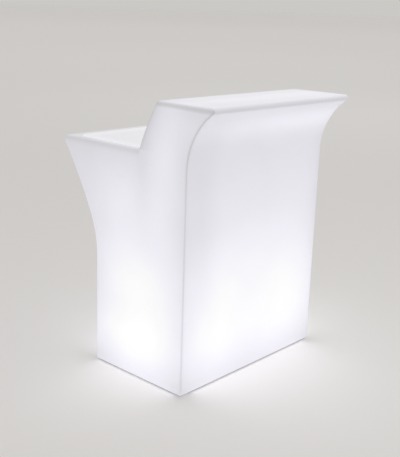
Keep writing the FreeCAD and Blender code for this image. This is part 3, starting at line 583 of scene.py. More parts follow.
ledge_z = GROUND_GAP + HATCH_DEPTH
half_long = HATCH[0] / 2 - HATCH_CORNER_R - LEDGE / 2
for side in (-1, 1):
    row = Vector((0, BASE_MIDDLE + side * (HATCH[1] - LEDGE) / 2, ledge_z))
    end = Vector((side * (HATCH[0] - LEDGE) / 2, BASE_MIDDLE, ledge_z))
    row_wells = [row + Vector((share * half_long, 0, 0)) for share in (-1, -1 / 3, 1 / 3, 1)]
    for centre, wells in ((row, row_wells), (end, [end])):
        ledge = face_at(shell, DOWN, centre)
        discs = [disc(shell, well, HATCH_WELL_R, segments=16) for well in wells]
        lay_in(shell, ledge, discs)
        for well in discs:
            push(shell, well, UP * HATCH_WELL_DEPTH)
print("base:", len(pockets), "pockets and a hatch of", HATCH, "mm")

# %% The window behind the service plate
SERVICE_X = 250.0
SERVICE_Z = 120.0
SERVICE = (124.0, 62.0)
SERVICE_CORNER_R = 6.0
SERVICE_GAP = 0.4
SERVICE_REBATE = 2.0
WINDOW_MARGIN = 12.0
SERVICE_SCREW_INSET = 6.0
SERVICE_WELL_R = 2.4
SERVICE_WELL_DEPTH = 9.5

service_screws = [(SERVICE_X + side_x * (SERVICE[0] / 2 - SERVICE_SCREW_INSET),
                   SERVICE_Z + side_z * (SERVICE[1] / 2 - SERVICE_SCREW_INSET))
                  for side_x in (-1, 1) for side_z in (-1, 1)]
seat = bore(shell, BACK, Vector((SERVICE_X, REAR, SERVICE_Z)), SERVICE_REBATE, round_plate,
            [s + 2 * SERVICE_GAP for s in SERVICE], SERVICE_CORNER_R + SERVICE_GAP)
seat_y = REAR - SERVICE_REBATE
window_size = [s - 2 * WINDOW_MARGIN for s in SERVICE]
window = round_plate(shell, Vector((SERVICE_X, seat_y, SERVICE_Z)), window_size, 0, stand=True)
wells = [disc(shell, Vector((x, seat_y, z)), SERVICE_WELL_R, stand=True, segments=16) for x, z in service_screws]
lay_in(shell, seat, [window] + wells)
for well in wells:
    push(shell, well, -BACK * SERVICE_WELL_DEPTH)
bmesh.ops.delete(shell, geom=[window], context="FACES_ONLY")
face_outward(shell)
print("body with its openings:", len(shell.faces), "faces")

# %% [markdown]
# ## A finished piece
# A finished mesh is scaled to metres, shaded smooth up to its sharp edges and tied to the body that
# it moves with. Hands and tools wear a part along its rounded outer edges first, so the vertices of
# these narrow strips are marked, and the finishes read the mark later. A Solidify modifier gives the
# moulding its wall, inwards, and weighted normals keep the sheen of flat faces flat. Only the
# moulding has open edges, where its window and hatch are.

# %% Finish a piece
STRIP = 1.2
OUTER_EDGE = 0.1
SHARP = math.radians(35)
awaiting_finish = []


def mark_worn(bm):
    """Marks the vertices that only narrow strips meet at an outer edge."""
    worn = bm.verts.layers.float.new("worn")
    strips = {f for f in bm.faces if len(f.verts) == 4 and 2 * f.calc_area() < STRIP * f.calc_perimeter()}
    for vert in bm.verts:
        turns = [e.calc_face_angle_signed(0) for e in vert.link_edges]
        vert[worn] = float(max(turns) > OUTER_EDGE and strips.issuperset(vert.link_faces))


def finish_piece(bm, name, slot, replaced, body="body"):
    """Turns a mesh in millimetres into an object in metres that rides on a body."""
    mark_worn(bm)
    bmesh.ops.scale(bm, vec=(MM, MM, MM), verts=bm.verts)
    open_edges = sum(len(e.link_faces) < 2 for e in bm.edges)
    mesh = bpy.data.meshes.new(name)
    bm.to_mesh(mesh)
    bm.free()
    mesh.shade_smooth()
    mesh.set_sharp_from_angle(angle=SHARP)
    piece = bpy.data.objects.new(name, mesh)
    scene.collection.objects.link(piece)
    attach(piece, body)
    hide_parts(replaced)
    awaiting_finish.append((piece, slot))
    print(name, [round(c, 4) for c in piece.dimensions], len(mesh.polygons), "faces,", open_edges, "open edges")
    return piece


def even_sheen(piece):
    """Weights the normals by face area, so that flat walls shade flat up to their round edges."""
    weighted = piece.modifiers.new("even_sheen", "WEIGHTED_NORMAL")
    weighted.keep_sharp = True


moulding = finish_piece(shell, "moulding", "shell_polyethylene", "body_shell")
wall_thickness = moulding.modifiers.new("wall", "SOLIDIFY")
wall_thickness.thickness = WALL * MM
wall_thickness.offset = -1.0
wall_thickness.use_even_offset = True
even_sheen(moulding)

# %% [markdown]
# ## The worktop panel
# The panel is an opal acrylic sheet that stands two millimetres proud of the worktop. It is the
# bed's outline again, given its thickness by a push, with the upper edge eased by a small bevel.

# %% The worktop panel
PANEL_THICKNESS = 8.0
PANEL_LIFT = 1.0
PANEL_EDGE_R = 1.5


def thicken(bm, face, move):
    """Gives a flat face its thickness."""
    drawn = bmesh.ops.extrude_face_region(bm, geom=[face])["geom"]
    bmesh.ops.translate(bm, vec=move, verts=verts_in(drawn))
    face_outward(bm)


panel = bmesh.new()
panel_foot = WORKTOP - BED_DEPTH + PANEL_LIFT
panel_top = panel_foot + PANEL_THICKNESS
under = round_plate(panel, Vector((0, panel_middle, panel_foot)), panel_size,
                    PANEL_REAR_CORNER_R, PANEL_RISER_CORNER_R)
thicken(panel, under, UP * PANEL_THICKNESS)
round_edges(panel, edges_where(panel, lambda co: abs(co.z - panel_top) < ROUNDNESS), PANEL_EDGE_R)
even_sheen(finish_piece(panel, "worktop_sheet", "worktop_acrylic", "worktop_panel"))

# %% [markdown]
# ## The service plate
# The mains comes in low on the rear wall, through an injection-moulded plate that is screwed into the
# wall's rebate. The cutouts for the inlet and the switch go right through: they are pushed to the
# back, where their faces are taken out. The seats of the four countersunk screws end in a neck.

# %% The service plate
SMALL_EDGE_R = 0.8
SERVICE_FACE = REAR + 1.0
SERVICE_THICKNESS = 3.0
INLET_X = SERVICE_X - 27.0
INLET_BARREL = (28.0, 21.0)
SWITCH_X = SERVICE_X + 33.0
SWITCH_HOUSING = (22.6, 30.4)
CUTOUT_GAP = 0.25
SCREW_HEAD_R = 2.9
SCREW_HEAD = 1.8
SCREW_R = 1.5
SCREW_LENGTH = 11.75


def round_slab(bm, place, size, radius, thickness):
    """A plate with round corners and a rounded front rim, whose back lies at a place on the rear wall."""
    front = round_plate(bm, place + BACK * thickness, size, radius, stand=True)
    thicken(bm, front, -BACK * thickness)
    at_front = place.y + thickness - FINE
    round_edges(bm, edges_where(bm, lambda co: co.y > at_front), SMALL_EDGE_R)


cover = bmesh.new()
service_back = Vector((SERVICE_X, SERVICE_FACE - SERVICE_THICKNESS, SERVICE_Z))
round_slab(cover, service_back, SERVICE, SERVICE_CORNER_R, SERVICE_THICKNESS)
front_wall = face_at(cover, BACK, service_back + BACK * SERVICE_THICKNESS)
cutouts = [round_plate(cover, Vector((x, SERVICE_FACE, SERVICE_Z)), [s + 2 * CUTOUT_GAP for s in size], 0, stand=True)
           for x, size in ((INLET_X, INLET_BARREL), (SWITCH_X, SWITCH_HOUSING))]
seats = [disc(cover, Vector((x, SERVICE_FACE, z)), SCREW_HEAD_R + CUTOUT_GAP, stand=True) for x, z in service_screws]
lay_in(cover, front_wall, cutouts + seats)
taper = (SCREW_R + CUTOUT_GAP) / (SCREW_HEAD_R + CUTOUT_GAP)
for (x, z), seat in zip(service_screws, seats):
    neck = push(cover, seat, -BACK * SCREW_HEAD)
    bmesh.ops.scale(cover, vec=(taper, 1, taper), space=Matrix.Translation((-x, 0, -z)), verts=neck.verts)
back_wall = face_at(cover, -BACK, service_back)
back_rims = [push(cover, cutout, -BACK * SERVICE_THICKNESS) for cutout in cutouts]
lay_in(cover, back_wall, back_rims)
bmesh.ops.delete(cover, geom=back_rims, context="FACES_ONLY")
face_outward(cover)
even_sheen(finish_piece(cover, "service_cover", "service_plate_grey", "service_plate"))

# %% [markdown]
# The cross in each screw's head begins as a small square whose four sides are drawn out into arms.
# The head then grows backwards from its own rim: in to the neck, and along the shank to its end.

# %% The plate's screws
CROSS_ARM = 0.45
CROSS_REACH = 1.15
CROSS_DEPTH = 1.2
CROSS_TAPER = 0.5


def cross(bm, place):
    """A flat cross on the rear wall, for a driver."""
    hub = bmesh.ops.create_grid(bm, x_segments=1, y_segments=1, size=CROSS_ARM)["verts"]
    faces = [hub[0].link_faces[0]]
    for side in faces[0].edges[:]:
        middle = sum((v.co for v in side.verts), Vector()) / 2
        arm = bmesh.ops.extrude_edge_only(bm, edges=[side])["geom"]
        faces += [g for g in arm if isinstance(g, bmesh.types.BMFace)]
        bmesh.ops.translate(bm, vec=middle.normalized() * CROSS_REACH, verts=verts_in(arm))
    whole = bmesh.ops.dissolve_faces(bm, faces=faces)["region"][0]
    bmesh.ops.transform(bm, matrix=Matrix.Translation(place) @ UPRIGHT, verts=whole.verts)
    return whole


screws = bmesh.new()
for x, z in service_screws:
    about = Matrix.Translation((-x, 0, -z))
    head = disc(screws, Vector((x, SERVICE_FACE, z)), SCREW_HEAD_R, stand=True)
    recess = cross(screws, Vector((x, SERVICE_FACE, z)))
    lay_in(screws, head, [recess])
    pit = push(screws, recess, -BACK * CROSS_DEPTH)
    bmesh.ops.scale(screws, vec=(CROSS_TAPER, 1, CROSS_TAPER), space=about, verts=pit.verts)
    for taper, length in ((SCREW_R / SCREW_HEAD_R, SCREW_HEAD), (1.0, SCREW_LENGTH - SCREW_HEAD)):
        rim = [e for e in screws.edges if e.is_boundary]
        ring = verts_in(bmesh.ops.extrude_edge_only(screws, edges=rim)["geom"])
        bmesh.ops.scale(screws, vec=(taper, 1, taper), space=about, verts=ring)
        bmesh.ops.translate(screws, vec=-BACK * length, verts=ring)
    bmesh.ops.edgeloop_fill(screws, edges=[e for e in screws.edges if e.is_boundary])
face_outward(screws)
finish_piece(screws, "cover_screws", "fixings_steel", "service_plate_screws")

# %% [markdown]
# ## The inlet and its flap
# The inlet is a glass-filled nylon frame: a flange on the plate, a barrel behind it and a well in
# front for the connector. Two lugs carry the hinge of the flap, a thin plate that covers the well. A
# low rib near its foot gives a fingertip something to lift it by.

# %% The inlet's frame
INLET_FLANGE = (44.0, 30.0)
INLET_THICKNESS = 3.0
INLET_BARREL_DEPTH = 27.0
INLET_WELL = (23.5, 16.0)
INLET_WELL_DEPTH = 20.0
INLET_WELL_R = 2.0
BARREL_CORNER_R = 1.0
MOUTH_R = 0.5
HINGE_R = 2.6
HINGE_LENGTH = 14.0
HINGE_GAP = 0.3
LUG = 3.0
LUG_EDGE_R = 0.4
LUG_SINK = 0.2

hinge = Vector((SERVICE_FACE + HINGE_GAP + HINGE_R, SERVICE_Z + INLET_FLANGE[1] / 2 + HINGE_GAP + HINGE_R))
hinge_top = hinge + Vector((0, HINGE_R))
hinge_front = hinge + Vector((HINGE_R, 0))
hinge_back = hinge - Vector((HINGE_R, 0))


def under_hinge(y):
    """The point on the hinge's round underside at a depth."""
    return Vector((y, hinge.y - math.sqrt(HINGE_R ** 2 - (y - hinge.x) ** 2)))


inlet_face = SERVICE_FACE + INLET_THICKNESS
inlet_seat = Vector((INLET_X, SERVICE_FACE, SERVICE_Z))
inlet_front = Vector((INLET_X, inlet_face, SERVICE_Z))

inlet = bmesh.new()
round_slab(inlet, inlet_seat, INLET_FLANGE, SERVICE_CORNER_R / 2, INLET_THICKNESS)
bore(inlet, -BACK, inlet_seat, -INLET_BARREL_DEPTH, round_plate, INLET_BARREL, BARREL_CORNER_R)
bore(inlet, BACK, inlet_front, INLET_WELL_DEPTH, round_plate, INLET_WELL, INLET_WELL_R)
mouth = edges_where(inlet, lambda co: abs(co.y - inlet_face) < FINE
                    and abs(co.x - INLET_X) < INLET_WELL[0] / 2 + FINE
                    and abs(co.z - SERVICE_Z) < INLET_WELL[1] / 2 + FINE)
round_edges(inlet, [e for e in mouth if e.calc_face_angle(0) > SHARP], MOUTH_R, segments=3)

lug_foot = SERVICE_Z + INLET_FLANGE[1] / 2 - HINGE_R
lug_front = inlet_face - LUG_SINK
for side in (-1, 1):
    lug_middle = INLET_X + side * (HINGE_LENGTH / 2 + HINGE_GAP + LUG / 2)
    prism(inlet, lug_middle - LUG / 2, LUG, [
        (None, hinge_back),
        (hinge, hinge_top),
        (hinge, hinge_front),
        (hinge, under_hinge(lug_front)),
        (None, Vector((lug_front, lug_foot))),
        (None, Vector((hinge_back.x, lug_foot))),
    ], LUG_EDGE_R)
even_sheen(finish_piece(inlet, "inlet_frame", "inlet_black", "inlet_body"))

# %% The flap
FLAP = (34.0, 27.0)
FLAP_THICKNESS = 2.4
FLAP_WEB = 3.5
RIB = (17.0, 1.6)
RIB_LIFT = 2.0
RIB_ABOVE = 1.6
RIB_CORNER_R = 0.5
RIB_EDGE_R = 0.4

flap_back = inlet_face + HINGE_GAP
flap_top = hinge.y - FLAP_WEB
flap_seat = Vector((INLET_X, flap_back, flap_top - FLAP[1] / 2))
rib_place = Vector((INLET_X, flap_back + FLAP_THICKNESS, flap_top - FLAP[1] + RIB_ABOVE + RIB[1] / 2))
web_foot = flap_top - FLAP_THICKNESS
web_back = flap_back + LUG_SINK

flap = bmesh.new()
round_slab(flap, flap_seat, FLAP, SERVICE_CORNER_R / 2, FLAP_THICKNESS)
rib = bore(flap, BACK, rib_place, -RIB_LIFT, round_plate, RIB, RIB_CORNER_R)
round_edges(flap, rib.edges[:], RIB_EDGE_R, segments=3)
prism(flap, INLET_X - HINGE_LENGTH / 2, HINGE_LENGTH, [
    (None, hinge_front),
    (hinge, hinge_top),
    (hinge, hinge_back),
    (hinge, under_hinge(web_back)),
    (None, Vector((web_back, web_foot))),
    (None, Vector((hinge_front.x, web_foot))),
], LUG_EDGE_R)
even_sheen(finish_piece(flap, "flap", "inlet_black", "inlet_flap", body="inlet_flap"))

# %% [markdown]
# ## The rocker switch
# A rocker snaps into a flanged housing. Its top is a shallow, rounded valley between two raised ends,
# and it rests tilted, with its upper half pressed. Its side outline is drawn upright and each point
# is then turned by the tilt.

# %% The switch's housing
SWITCH_FLANGE = (27.0, 34.0)
SWITCH_THICKNESS = 2.0
SWITCH_DEPTH = 20.0
ROCKER_LENGTH = 18.2
ROCKER_R = 13.2
ROCKER_GAP = 0.4
ROCKER_SINK = 3.0
ROCKER_WELL_DEPTH = 9.0
ROCKER_WELL_R = 0.6

switch_seat = Vector((SWITCH_X, SERVICE_FACE, SERVICE_Z))
switch_front = switch_seat + BACK * SWITCH_THICKNESS
switch_well = (ROCKER_LENGTH + 2 * ROCKER_GAP, 2 * (ROCKER_R + ROCKER_GAP))

housing = bmesh.new()
round_slab(housing, switch_seat, SWITCH_FLANGE, SERVICE_CORNER_R / 2, SWITCH_THICKNESS)
bore(housing, -BACK, switch_seat, -SWITCH_DEPTH, round_plate, SWITCH_HOUSING, BARREL_CORNER_R)
bore(housing, BACK, switch_front, ROCKER_SINK + ROCKER_WELL_DEPTH, round_plate, switch_well, ROCKER_WELL_R)
even_sheen(finish_piece(housing, "switch_frame", "inlet_black", "switch_housing"))

# %% The rocker
ROCKER_TILT = math.radians(10)
ROCKER_RIDGE = 4.5
ROCKER_SKIRT = 4.0
VALLEY_R = 4.0
ROCKER_EDGE_R = 0.6

pivot = Vector((switch_front.y - ROCKER_SINK, SERVICE_Z))
slope = math.tan(ROCKER_TILT)
half = (-ROCKER_RIDGE * slope + math.sqrt(ROCKER_R ** 2 * (1 + slope ** 2) - ROCKER_RIDGE ** 2)) / (1 + slope ** 2)
tip = ROCKER_RIDGE + half * slope
skirt = math.sqrt(ROCKER_R ** 2 - ROCKER_SKIRT ** 2)


def tilted(y, z):
    """A point of the rocker's outline, turned about its pivot."""
    return pivot + Matrix.Rotation(ROCKER_TILT, 2) @ Vector((y, z))


rocker = bmesh.new()
valley = tilted(ROCKER_RIDGE, 0)
prism(rocker, SWITCH_X - ROCKER_LENGTH / 2, ROCKER_LENGTH, [
    (None, tilted(tip, half)),
    (pivot, tilted(-ROCKER_SKIRT, skirt)),
    (None, tilted(-ROCKER_SKIRT, -skirt)),
    (pivot, tilted(tip, -half)),
    (None, valley),
])
round_edges(rocker, edges_where(rocker, lambda co: (Vector(co.yz) - valley).length < FINE), VALLEY_R, segments=8)
round_edges(rocker, [e for e in rocker.edges if e.calc_face_angle(0) > SHARP], ROCKER_EDGE_R)
even_sheen(finish_piece(rocker, "rocker", "rocker_black", "switch_rocker", body="switch_rocker"))

# %% [markdown]
# ## The levelling feet
# Each foot is a rubber pad on a zinc-plated stem with a hexagon collar for a spanner. Half the pad's
# section is walked once and spun round. The stem's thread is drawn as rings instead of a helix, which
# nobody can tell apart at 1.5 mm, by pushing one round face up while its radius goes in and out.

# %% A pad and a stem
PAD_SECTION = (
    (0, 0.6), (6, 0.6), (6.6, 0), (12, 0), (12.6, 0.6), (16, 0.6), (16.6, 0), (22, 0),
    (22, 2), (21.3, 2.5), (22, 3), (22, 5), (16, 10), (5.2, 10), (5.2, 4), (0, 4),
)
PAD_CORNERS = ((22, 0), (22, 5), (16, 10), (5.2, 10))
PAD_CORNER_R = 0.9
COLLAR_FLATS = 17.0
COLLAR_FOOT = 10.0
COLLAR_EDGE_R = 0.6
STEM_R = 5.0
STEM_SOCKET = 6.0
STEM_LENGTH = 22.0
THREAD_PITCH = 1.5
THREAD_ROOT_R = 4.4


def make_pad(x, y):
    """A pad whose axis stands at (x, y)."""
    pad = bmesh.new()
    here = pad.verts.new((x, y + PAD_SECTION[0][0], PAD_SECTION[0][1]))
    for radius, z in PAD_SECTION[1:]:
        here = line_to(pad, here, (y + radius, z))
    bmesh.ops.spin(pad, geom=pad.verts[:] + pad.edges[:], cent=(x, y, 0), axis=UP, angle=2 * math.pi,
                   steps=48, use_merge=True)
    bmesh.ops.remove_doubles(pad, verts=pad.verts, dist=FINE)
    face_outward(pad)
    rims = []
    for radius, z in PAD_CORNERS:
        rims += edges_where(pad, lambda co: abs(math.hypot(co.x - x, co.y - y) - radius) < FINE
                            and abs(co.z - z) < FINE)
    round_edges(pad, rims, PAD_CORNER_R, segments=3)
    return pad


def make_stem(x, y):
    """A stem whose collar meets the roof of its pocket when the foot is screwed home."""
    stem = bmesh.new()
    foot = Vector((x, y, COLLAR_FOOT))
    top = Vector((x, y, GROUND_GAP + POCKET_DEPTH))
    thicken(stem, disc(stem, foot, COLLAR_FLATS / math.sqrt(3), segments=6), top - foot)
    level = [e for e in stem.edges if abs(e.verts[0].co.z - e.verts[1].co.z) < FINE]
    round_edges(stem, level, COLLAR_EDGE_R, segments=2)
    bore(stem, DOWN, foot, -STEM_SOCKET, disc, STEM_R)
    tip = bore(stem, UP, top, -THREAD_PITCH / 2, disc, STEM_R)
    wide = False
    for _ in range(round(2 * STEM_LENGTH / THREAD_PITCH) - 1):
        tip = push(stem, tip, UP * (THREAD_PITCH / 2))
        grow = STEM_R / THREAD_ROOT_R if wide else THREAD_ROOT_R / STEM_R
        bmesh.ops.scale(stem, vec=(grow, grow, 1), space=Matrix.Translation((-x, -y, 0)), verts=tip.verts)
        wide = not wide
    face_outward(stem)
    return stem


for side in ("front_left", "front_right", "rear_left", "rear_right"):
    low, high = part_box("foot_pad_" + side)
    x, y = ((low[i] + high[i]) / 2 / MM for i in (0, 1))
    finish_piece(make_pad(x, y), "pad_" + side, "foot_rubber", "foot_pad_" + side, body="foot_" + side)
    finish_piece(make_stem(x, y), "stem_" + side, "foot_steel", "foot_stem_" + side, body="foot_" + side)

# %% [markdown]
# ## The glow
# Rotomoulded polyethylene is milky. Light from the two lamps soaks into the wall and leaves it all
# over, brightest beside the lamps and dimmer along the edges and at the foot, where the wall is
# thickest. Real light through such a wall takes very many samples, so the wall is given that light
# as an emission that depends on the place alone. Soft ellipsoids say how much there is: two round
# the lamps, more where the hollow gathers light or shades it, and the last are painted shade and
# painted light at single places on the wall. Every loss then multiplies it.

# %% Light in the body
LAMP_LOBE = (0.209, 0.233, 0.434)
LIGHT_LOBES = (
    ("left lamp", (-0.250, -0.0395, 0.0), LAMP_LOBE, 0.71),
    ("right lamp", (0.250, -0.0395, 0.0), LAMP_LOBE, 0.71),
    ("hollow under the bar", (0.0, -0.187, 0.957), (3.0, 0.068, 0.155), 0.112),
    ("front flare", (0.216, -0.320, 1.013), (0.400, 0.060, 0.043), 0.153),
    ("hollow under the worktop", (0.0, 0.050, 0.741), (3.0, 0.200, 0.084), 0.062),
    ("shade of the riser's foot", (0.0, -0.053, 0.832), (3.0, 0.031, 0.134), -0.049),
    # The last six rows are painted shade and painted light at single places on the wall.
    ("painted shade, front left", (-0.329, -0.280, 0.684), (0.069, 0.050, 0.263), -0.054),
    ("painted shade, left end", (-0.411, 0.014, 0.278), (0.080, 0.150, 0.060), -0.061),
    ("painted shade, front right", (0.411, -0.280, 0.600), (0.030, 0.050, 0.300), -0.060),
    ("painted shade, left rear", (-0.411, 0.190, 0.350), (0.050, 0.035, 0.100), -0.060),
    ("painted light, front middle", (-0.010, -0.280, 0.510), (0.143, 0.050, 0.105), 0.042),
    ("painted light round the foot", (0.0, 0.0, 0.0), (3.0, 3.0, 0.018), 0.100),
)
LIGHT_EVERYWHERE = 0.286


def light_in_body(tree, place):
    """The light at each place, as a share of white."""
    level = LIGHT_EVERYWHERE
    for _, centre, width, light in LIGHT_LOBES:
        size = Vector([1 / (w * math.sqrt(2)) for w in width])
        lobe = add(tree, "Mapping", {"Vector": place, "Scale": size, "Location": -Vector(centre) * size})
        square = add(tree, "VectorMath", {0: lobe, 1: lobe}, out="Value", operation="DOT_PRODUCT")
        fading = calc(tree, "EXPONENT", calc(tree, "MULTIPLY", square, -1.0))
        level = calc(tree, "MULTIPLY_ADD", fading, light, level)
    return level


def curve_through(tree, value, points):
    """A value that follows points of (input, output)."""
    made = add(tree, "FloatCurve", {"Value": value})
    mapping = made.node.mapping
    mapping.use_clip = False
    line = mapping.curves[0]
    while len(line.points) < len(points):
        line.points.new(0.5, 0.5)
    for knot, point in zip(line.points, points):
        knot.location = point
        knot.handle_type = "VECTOR"
    mapping.update()
    return made


_, lamp_centre, lamp_width, lamp_light = LIGHT_LOBES[0]
wall_away = (FRONT * MM - lamp_centre[1]) / lamp_width[1]
print("light on the front wall beside a lamp:", round(LIGHT_EVERYWHERE + lamp_light * math.exp(-wall_away ** 2 / 2), 2))

# %% [markdown]
# The end edges are drawn as dark lines by the direction that the surface faces: on a rounded edge it
# turns from sideways to square on, so the product of its two parts is largest halfway round. The
# corners at the front and beside the riser also dim the wall beside them. Each leans, so its line is
# a curve from height to depth. Four bands are thicker and darker: under the bar's rim, across each
# end under the bar, the rear part of the bar's top, and round the worktop's rim. The rounded edge at
# the base looks at the bright floor and gains light; the flat base inside it loses nearly half.

# %% Losses in the wall
def front_line(height_mm):
    """Depth of the front corner at a height, in millimetres."""
    above = min(max(height_mm - FRONT_BEND, 0), rise)
    return front_flare.x + math.sqrt(front_flare_r ** 2 - above ** 2)


TOP = HEIGHT * MM
FOREMOST = FRONT_TIP * MM
REARMOST = REAR_TIP * MM
ON_TOP = (HEIGHT - 1) * MM
BEHIND_RISER = (-0.045, -0.035)
FRONT_CORNER = [(z * MM, front_line(z) * MM) for z in (0, FRONT_BEND, 900, 940, 980, 1020, 1060, HEIGHT)]
RISER_CORNER = [(0.0, 1.0), (0.913, 1.0), (0.914, RISER_FOOT * MM), (TOP, TOP_REAR * MM)]
CORNERS = ((FRONT_CORNER, 0.010, 0.12), (RISER_CORNER, 0.030, 0.32), (RISER_CORNER, 0.005, 0.35))
FOOT_DEPTH = 0.125
FOOT_LOSS = 0.56
UNDERSIDE_GAIN = 0.06
BASE_EDGE_TOP = 0.02
BASE_EDGE_GAIN = [(0.0, 0.0), (0.4, 0.18), (0.9, 0.50), (0.955, 0.50), (0.97, -0.42), (1.0, -0.45)]
EDGE_LOSS = [(0.0, 0.0), (0.02, 0.0), (0.03, 0.24), (0.75, 0.30), (0.95, 0.50), (TOP, 0.50)]
WORKTOP_EDGE_LOSS = 0.05
TOP_EDGE_LOSS = [(FOREMOST, 0.08), (-0.300, 0.10), (-0.200, 0.30), (REARMOST, 0.30)]
RISER_EDGE_LOSS = 0.6
BAR_RIM_LOSS = [(0.0, 0.0), (1.076, 0.0), (1.080, 0.30), (1.090, 0.18), (TOP, 0.0)]
END_RIM_DROP = [(FOREMOST, 0.0035), (-0.320, 0.0035), (-0.200, 0.0), (REARMOST, 0.0)]
END_RIM_LOSS = [(0.0, 0.0), (1.079, 0.0), (1.085, 0.35), (1.089, 0.46), (1.094, 0.44), (TOP, 0.1)]
TOP_FACE_LOSS = [(FOREMOST, 0.0), (-0.260, 0.0), (-0.200, 0.20), (TOP_REAR * MM, 0.22), (REARMOST, 0.0)]
WORKTOP_RIM_LOSS = [(0.0, 0.0), (0.880, 0.0), (0.892, 0.08), (0.902, 0.26), (0.920, 0.30), (0.925, 0.0), (TOP, 0.0)]


def wall_keeps(tree, apart, facing):
    """The share of the body's light that comes through the wall at each place."""
    depth, height = apart["Y"], apart["Z"]
    from_end = calc(tree, "SUBTRACT", WIDTH / 2 * MM, calc(tree, "ABSOLUTE", apart["X"]))
    distances = [(height, FOOT_DEPTH, FOOT_LOSS)]
    for corner, fade, share in CORNERS:
        from_line = calc(tree, "SUBTRACT", depth, curve_through(tree, height, corner))
        across = add(tree, "CombineXYZ", {"X": from_end, "Y": from_line})
        from_corner = add(tree, "VectorMath", {0: across}, out="Value", operation="LENGTH")
        distances.append((from_corner, fade, share))
    losses = []
    for distance, fade, share in distances:
        near = calc(tree, "EXPONENT", calc(tree, "MULTIPLY", distance, -1 / fade))
        losses.append(calc(tree, "MULTIPLY", near, share))

    sideways = calc(tree, "MULTIPLY", facing["X"], facing["X"])
    halfway = calc(tree, "MULTIPLY", sideways, calc(tree, "SUBTRACT", 1.0, sideways))
    edge = calc(tree, "POWER", calc(tree, "MULTIPLY", halfway, 4.0), 2.0)
    top_share = ramp(tree, height, 0.95, 1.05, WORKTOP_EDGE_LOSS, curve_through(tree, depth, TOP_EDGE_LOSS))
    edge_share = add(tree, "Mix", {"Factor": ramp(tree, facing["Z"], 0.2, 0.5),
                                   "A": curve_through(tree, height, EDGE_LOSS), "B": top_share})
    on_riser = calc(tree, "GREATER_THAN", height, WORKTOP * MM)
    riser_share = ramp(tree, on_riser, 0.0, 1.0, 0.0, RISER_EDGE_LOSS)
    edge_share = calc(tree, "MULTIPLY_ADD", ramp(tree, facing["Y"], 0.0, 0.5), riser_share, edge_share)
    losses.append(calc(tree, "MULTIPLY", edge, edge_share))

    dropped = calc(tree, "ADD", height, curve_through(tree, depth, END_RIM_DROP))
    for value, band, within in (
        (height, BAR_RIM_LOSS, ramp(tree, facing["Y"], 0.0, -0.6)),
        (dropped, END_RIM_LOSS, ramp(tree, sideways, 0.5, 0.9)),
        (depth, TOP_FACE_LOSS, calc(tree, "GREATER_THAN", height, ON_TOP)),
        (height, WORKTOP_RIM_LOSS, ramp(tree, depth, *BEHIND_RISER)),
    ):
        losses.append(calc(tree, "MULTIPLY", curve_through(tree, value, band), within))

    kept = ramp(tree, facing["Z"], 0.0, -1.0, 1.0, 1 + UNDERSIDE_GAIN)
    at_base = calc(tree, "LESS_THAN", height, BASE_EDGE_TOP)
    downward = calc(tree, "MULTIPLY", facing["Z"], -1.0)
    kept = calc(tree, "MULTIPLY_ADD", curve_through(tree, downward, BASE_EDGE_GAIN), at_base, kept)
    for loss in losses:
        kept = calc(tree, "MULTIPLY", kept, calc(tree, "SUBTRACT", 1.0, loss))
    return kept


print("the front corner leans out by", round(FRONT - front_line(1060)), "mm at a height of 1060 mm")

# %% [markdown]
# The powder melts against a grit-blasted mould, so the skin has a fine satin grain, and the uneven
# wall shows as faint clouds in the light. The real grain is near a third of a millimetre; it is drawn
# at 2 mm, which the picture can just hold. The light is cool, but a photograph loses its tint where
# the wall is nearly white.

# %% Rotomoulded polyethylene
NEARLY_WHITE = (0.50, 0.60)

moulded_wall, tree, surface, place = new_material("polyethylene_rotomoulded", IOR=1.51, Emission_Strength=1.0,
                                                  Base_Color=linear("#cfcfd2"))
facing = split(tree, add(tree, "TexCoord", out="Normal"))
grain = noise(tree, place, 2, 3.0)
clouds = spread(tree, noise(tree, place, 140, 1.0), 0.98, 1.02)
level = calc(tree, "MULTIPLY", light_in_body(tree, place), wall_keeps(tree, split(tree, place), facing))
level = calc(tree, "MULTIPLY", level, clouds)
tint = blend(tree, ramp(tree, level, *NEARLY_WHITE), "#f0f0ff", "#f2f2f3")
wire(tree, surface, Roughness=spread(tree, grain, 0.42, 0.52), Normal=relief(tree, grain, 0.3, 0.04),
     Emission_Color=blend(tree, level, "#000000", tint))
print("polyethylene:", len(tree.nodes), "nodes")

# %% [markdown]
# ## The opal worktop
# The panel is cast acrylic with a white filler, smoother than the moulding. Light runs inside the
# sheet and leaves it at the cut edge, so the rim glows more than the middle does.

# %% Opal acrylic
RIM_GLOW = 0.35

opal_sheet, tree, surface, place = new_material("acrylic_opal_cast", IOR=1.49, Emission_Strength=1.0,
                                                Base_Color=linear("#cfcfd2"))
apart = split(tree, place)
end_glow = ramp(tree, calc(tree, "ABSOLUTE", apart["X"]), 0.325, 0.383, 0.0, RIM_GLOW)
rear_glow = ramp(tree, apart["Y"], 0.265, 0.340, 0.0, RIM_GLOW)
side = ramp(tree, split(tree, add(tree, "TexCoord", out="Normal"))["Z"], 0.98, 0.5)
edge = calc(tree, "MAXIMUM", calc(tree, "MAXIMUM", end_glow, rear_glow), side)
wire(tree, surface, Roughness=spread(tree, noise(tree, place, 60, 4.0), 0.30, 0.38),
     Emission_Color=blend(tree, edge, "#89898f", "#acacb5"))
print("acrylic:", len(tree.nodes), "nodes")

# %% [markdown]
# ## Plastics and rubbers
# The small parts are moulded too. A spark-eroded mould leaves a fine even grain, and the pigment is
# never quite evenly mixed. One function draws both, and a table holds what differs: two shades and
# the shade of a worn edge, how rough the skin is, the size and the depth of its grain in millimetres,
# and how it bends light. Handling polishes a grained edge in patches, so wear lowers the roughness.

# %% Moulded and extruded finishes
POLISH = 0.14


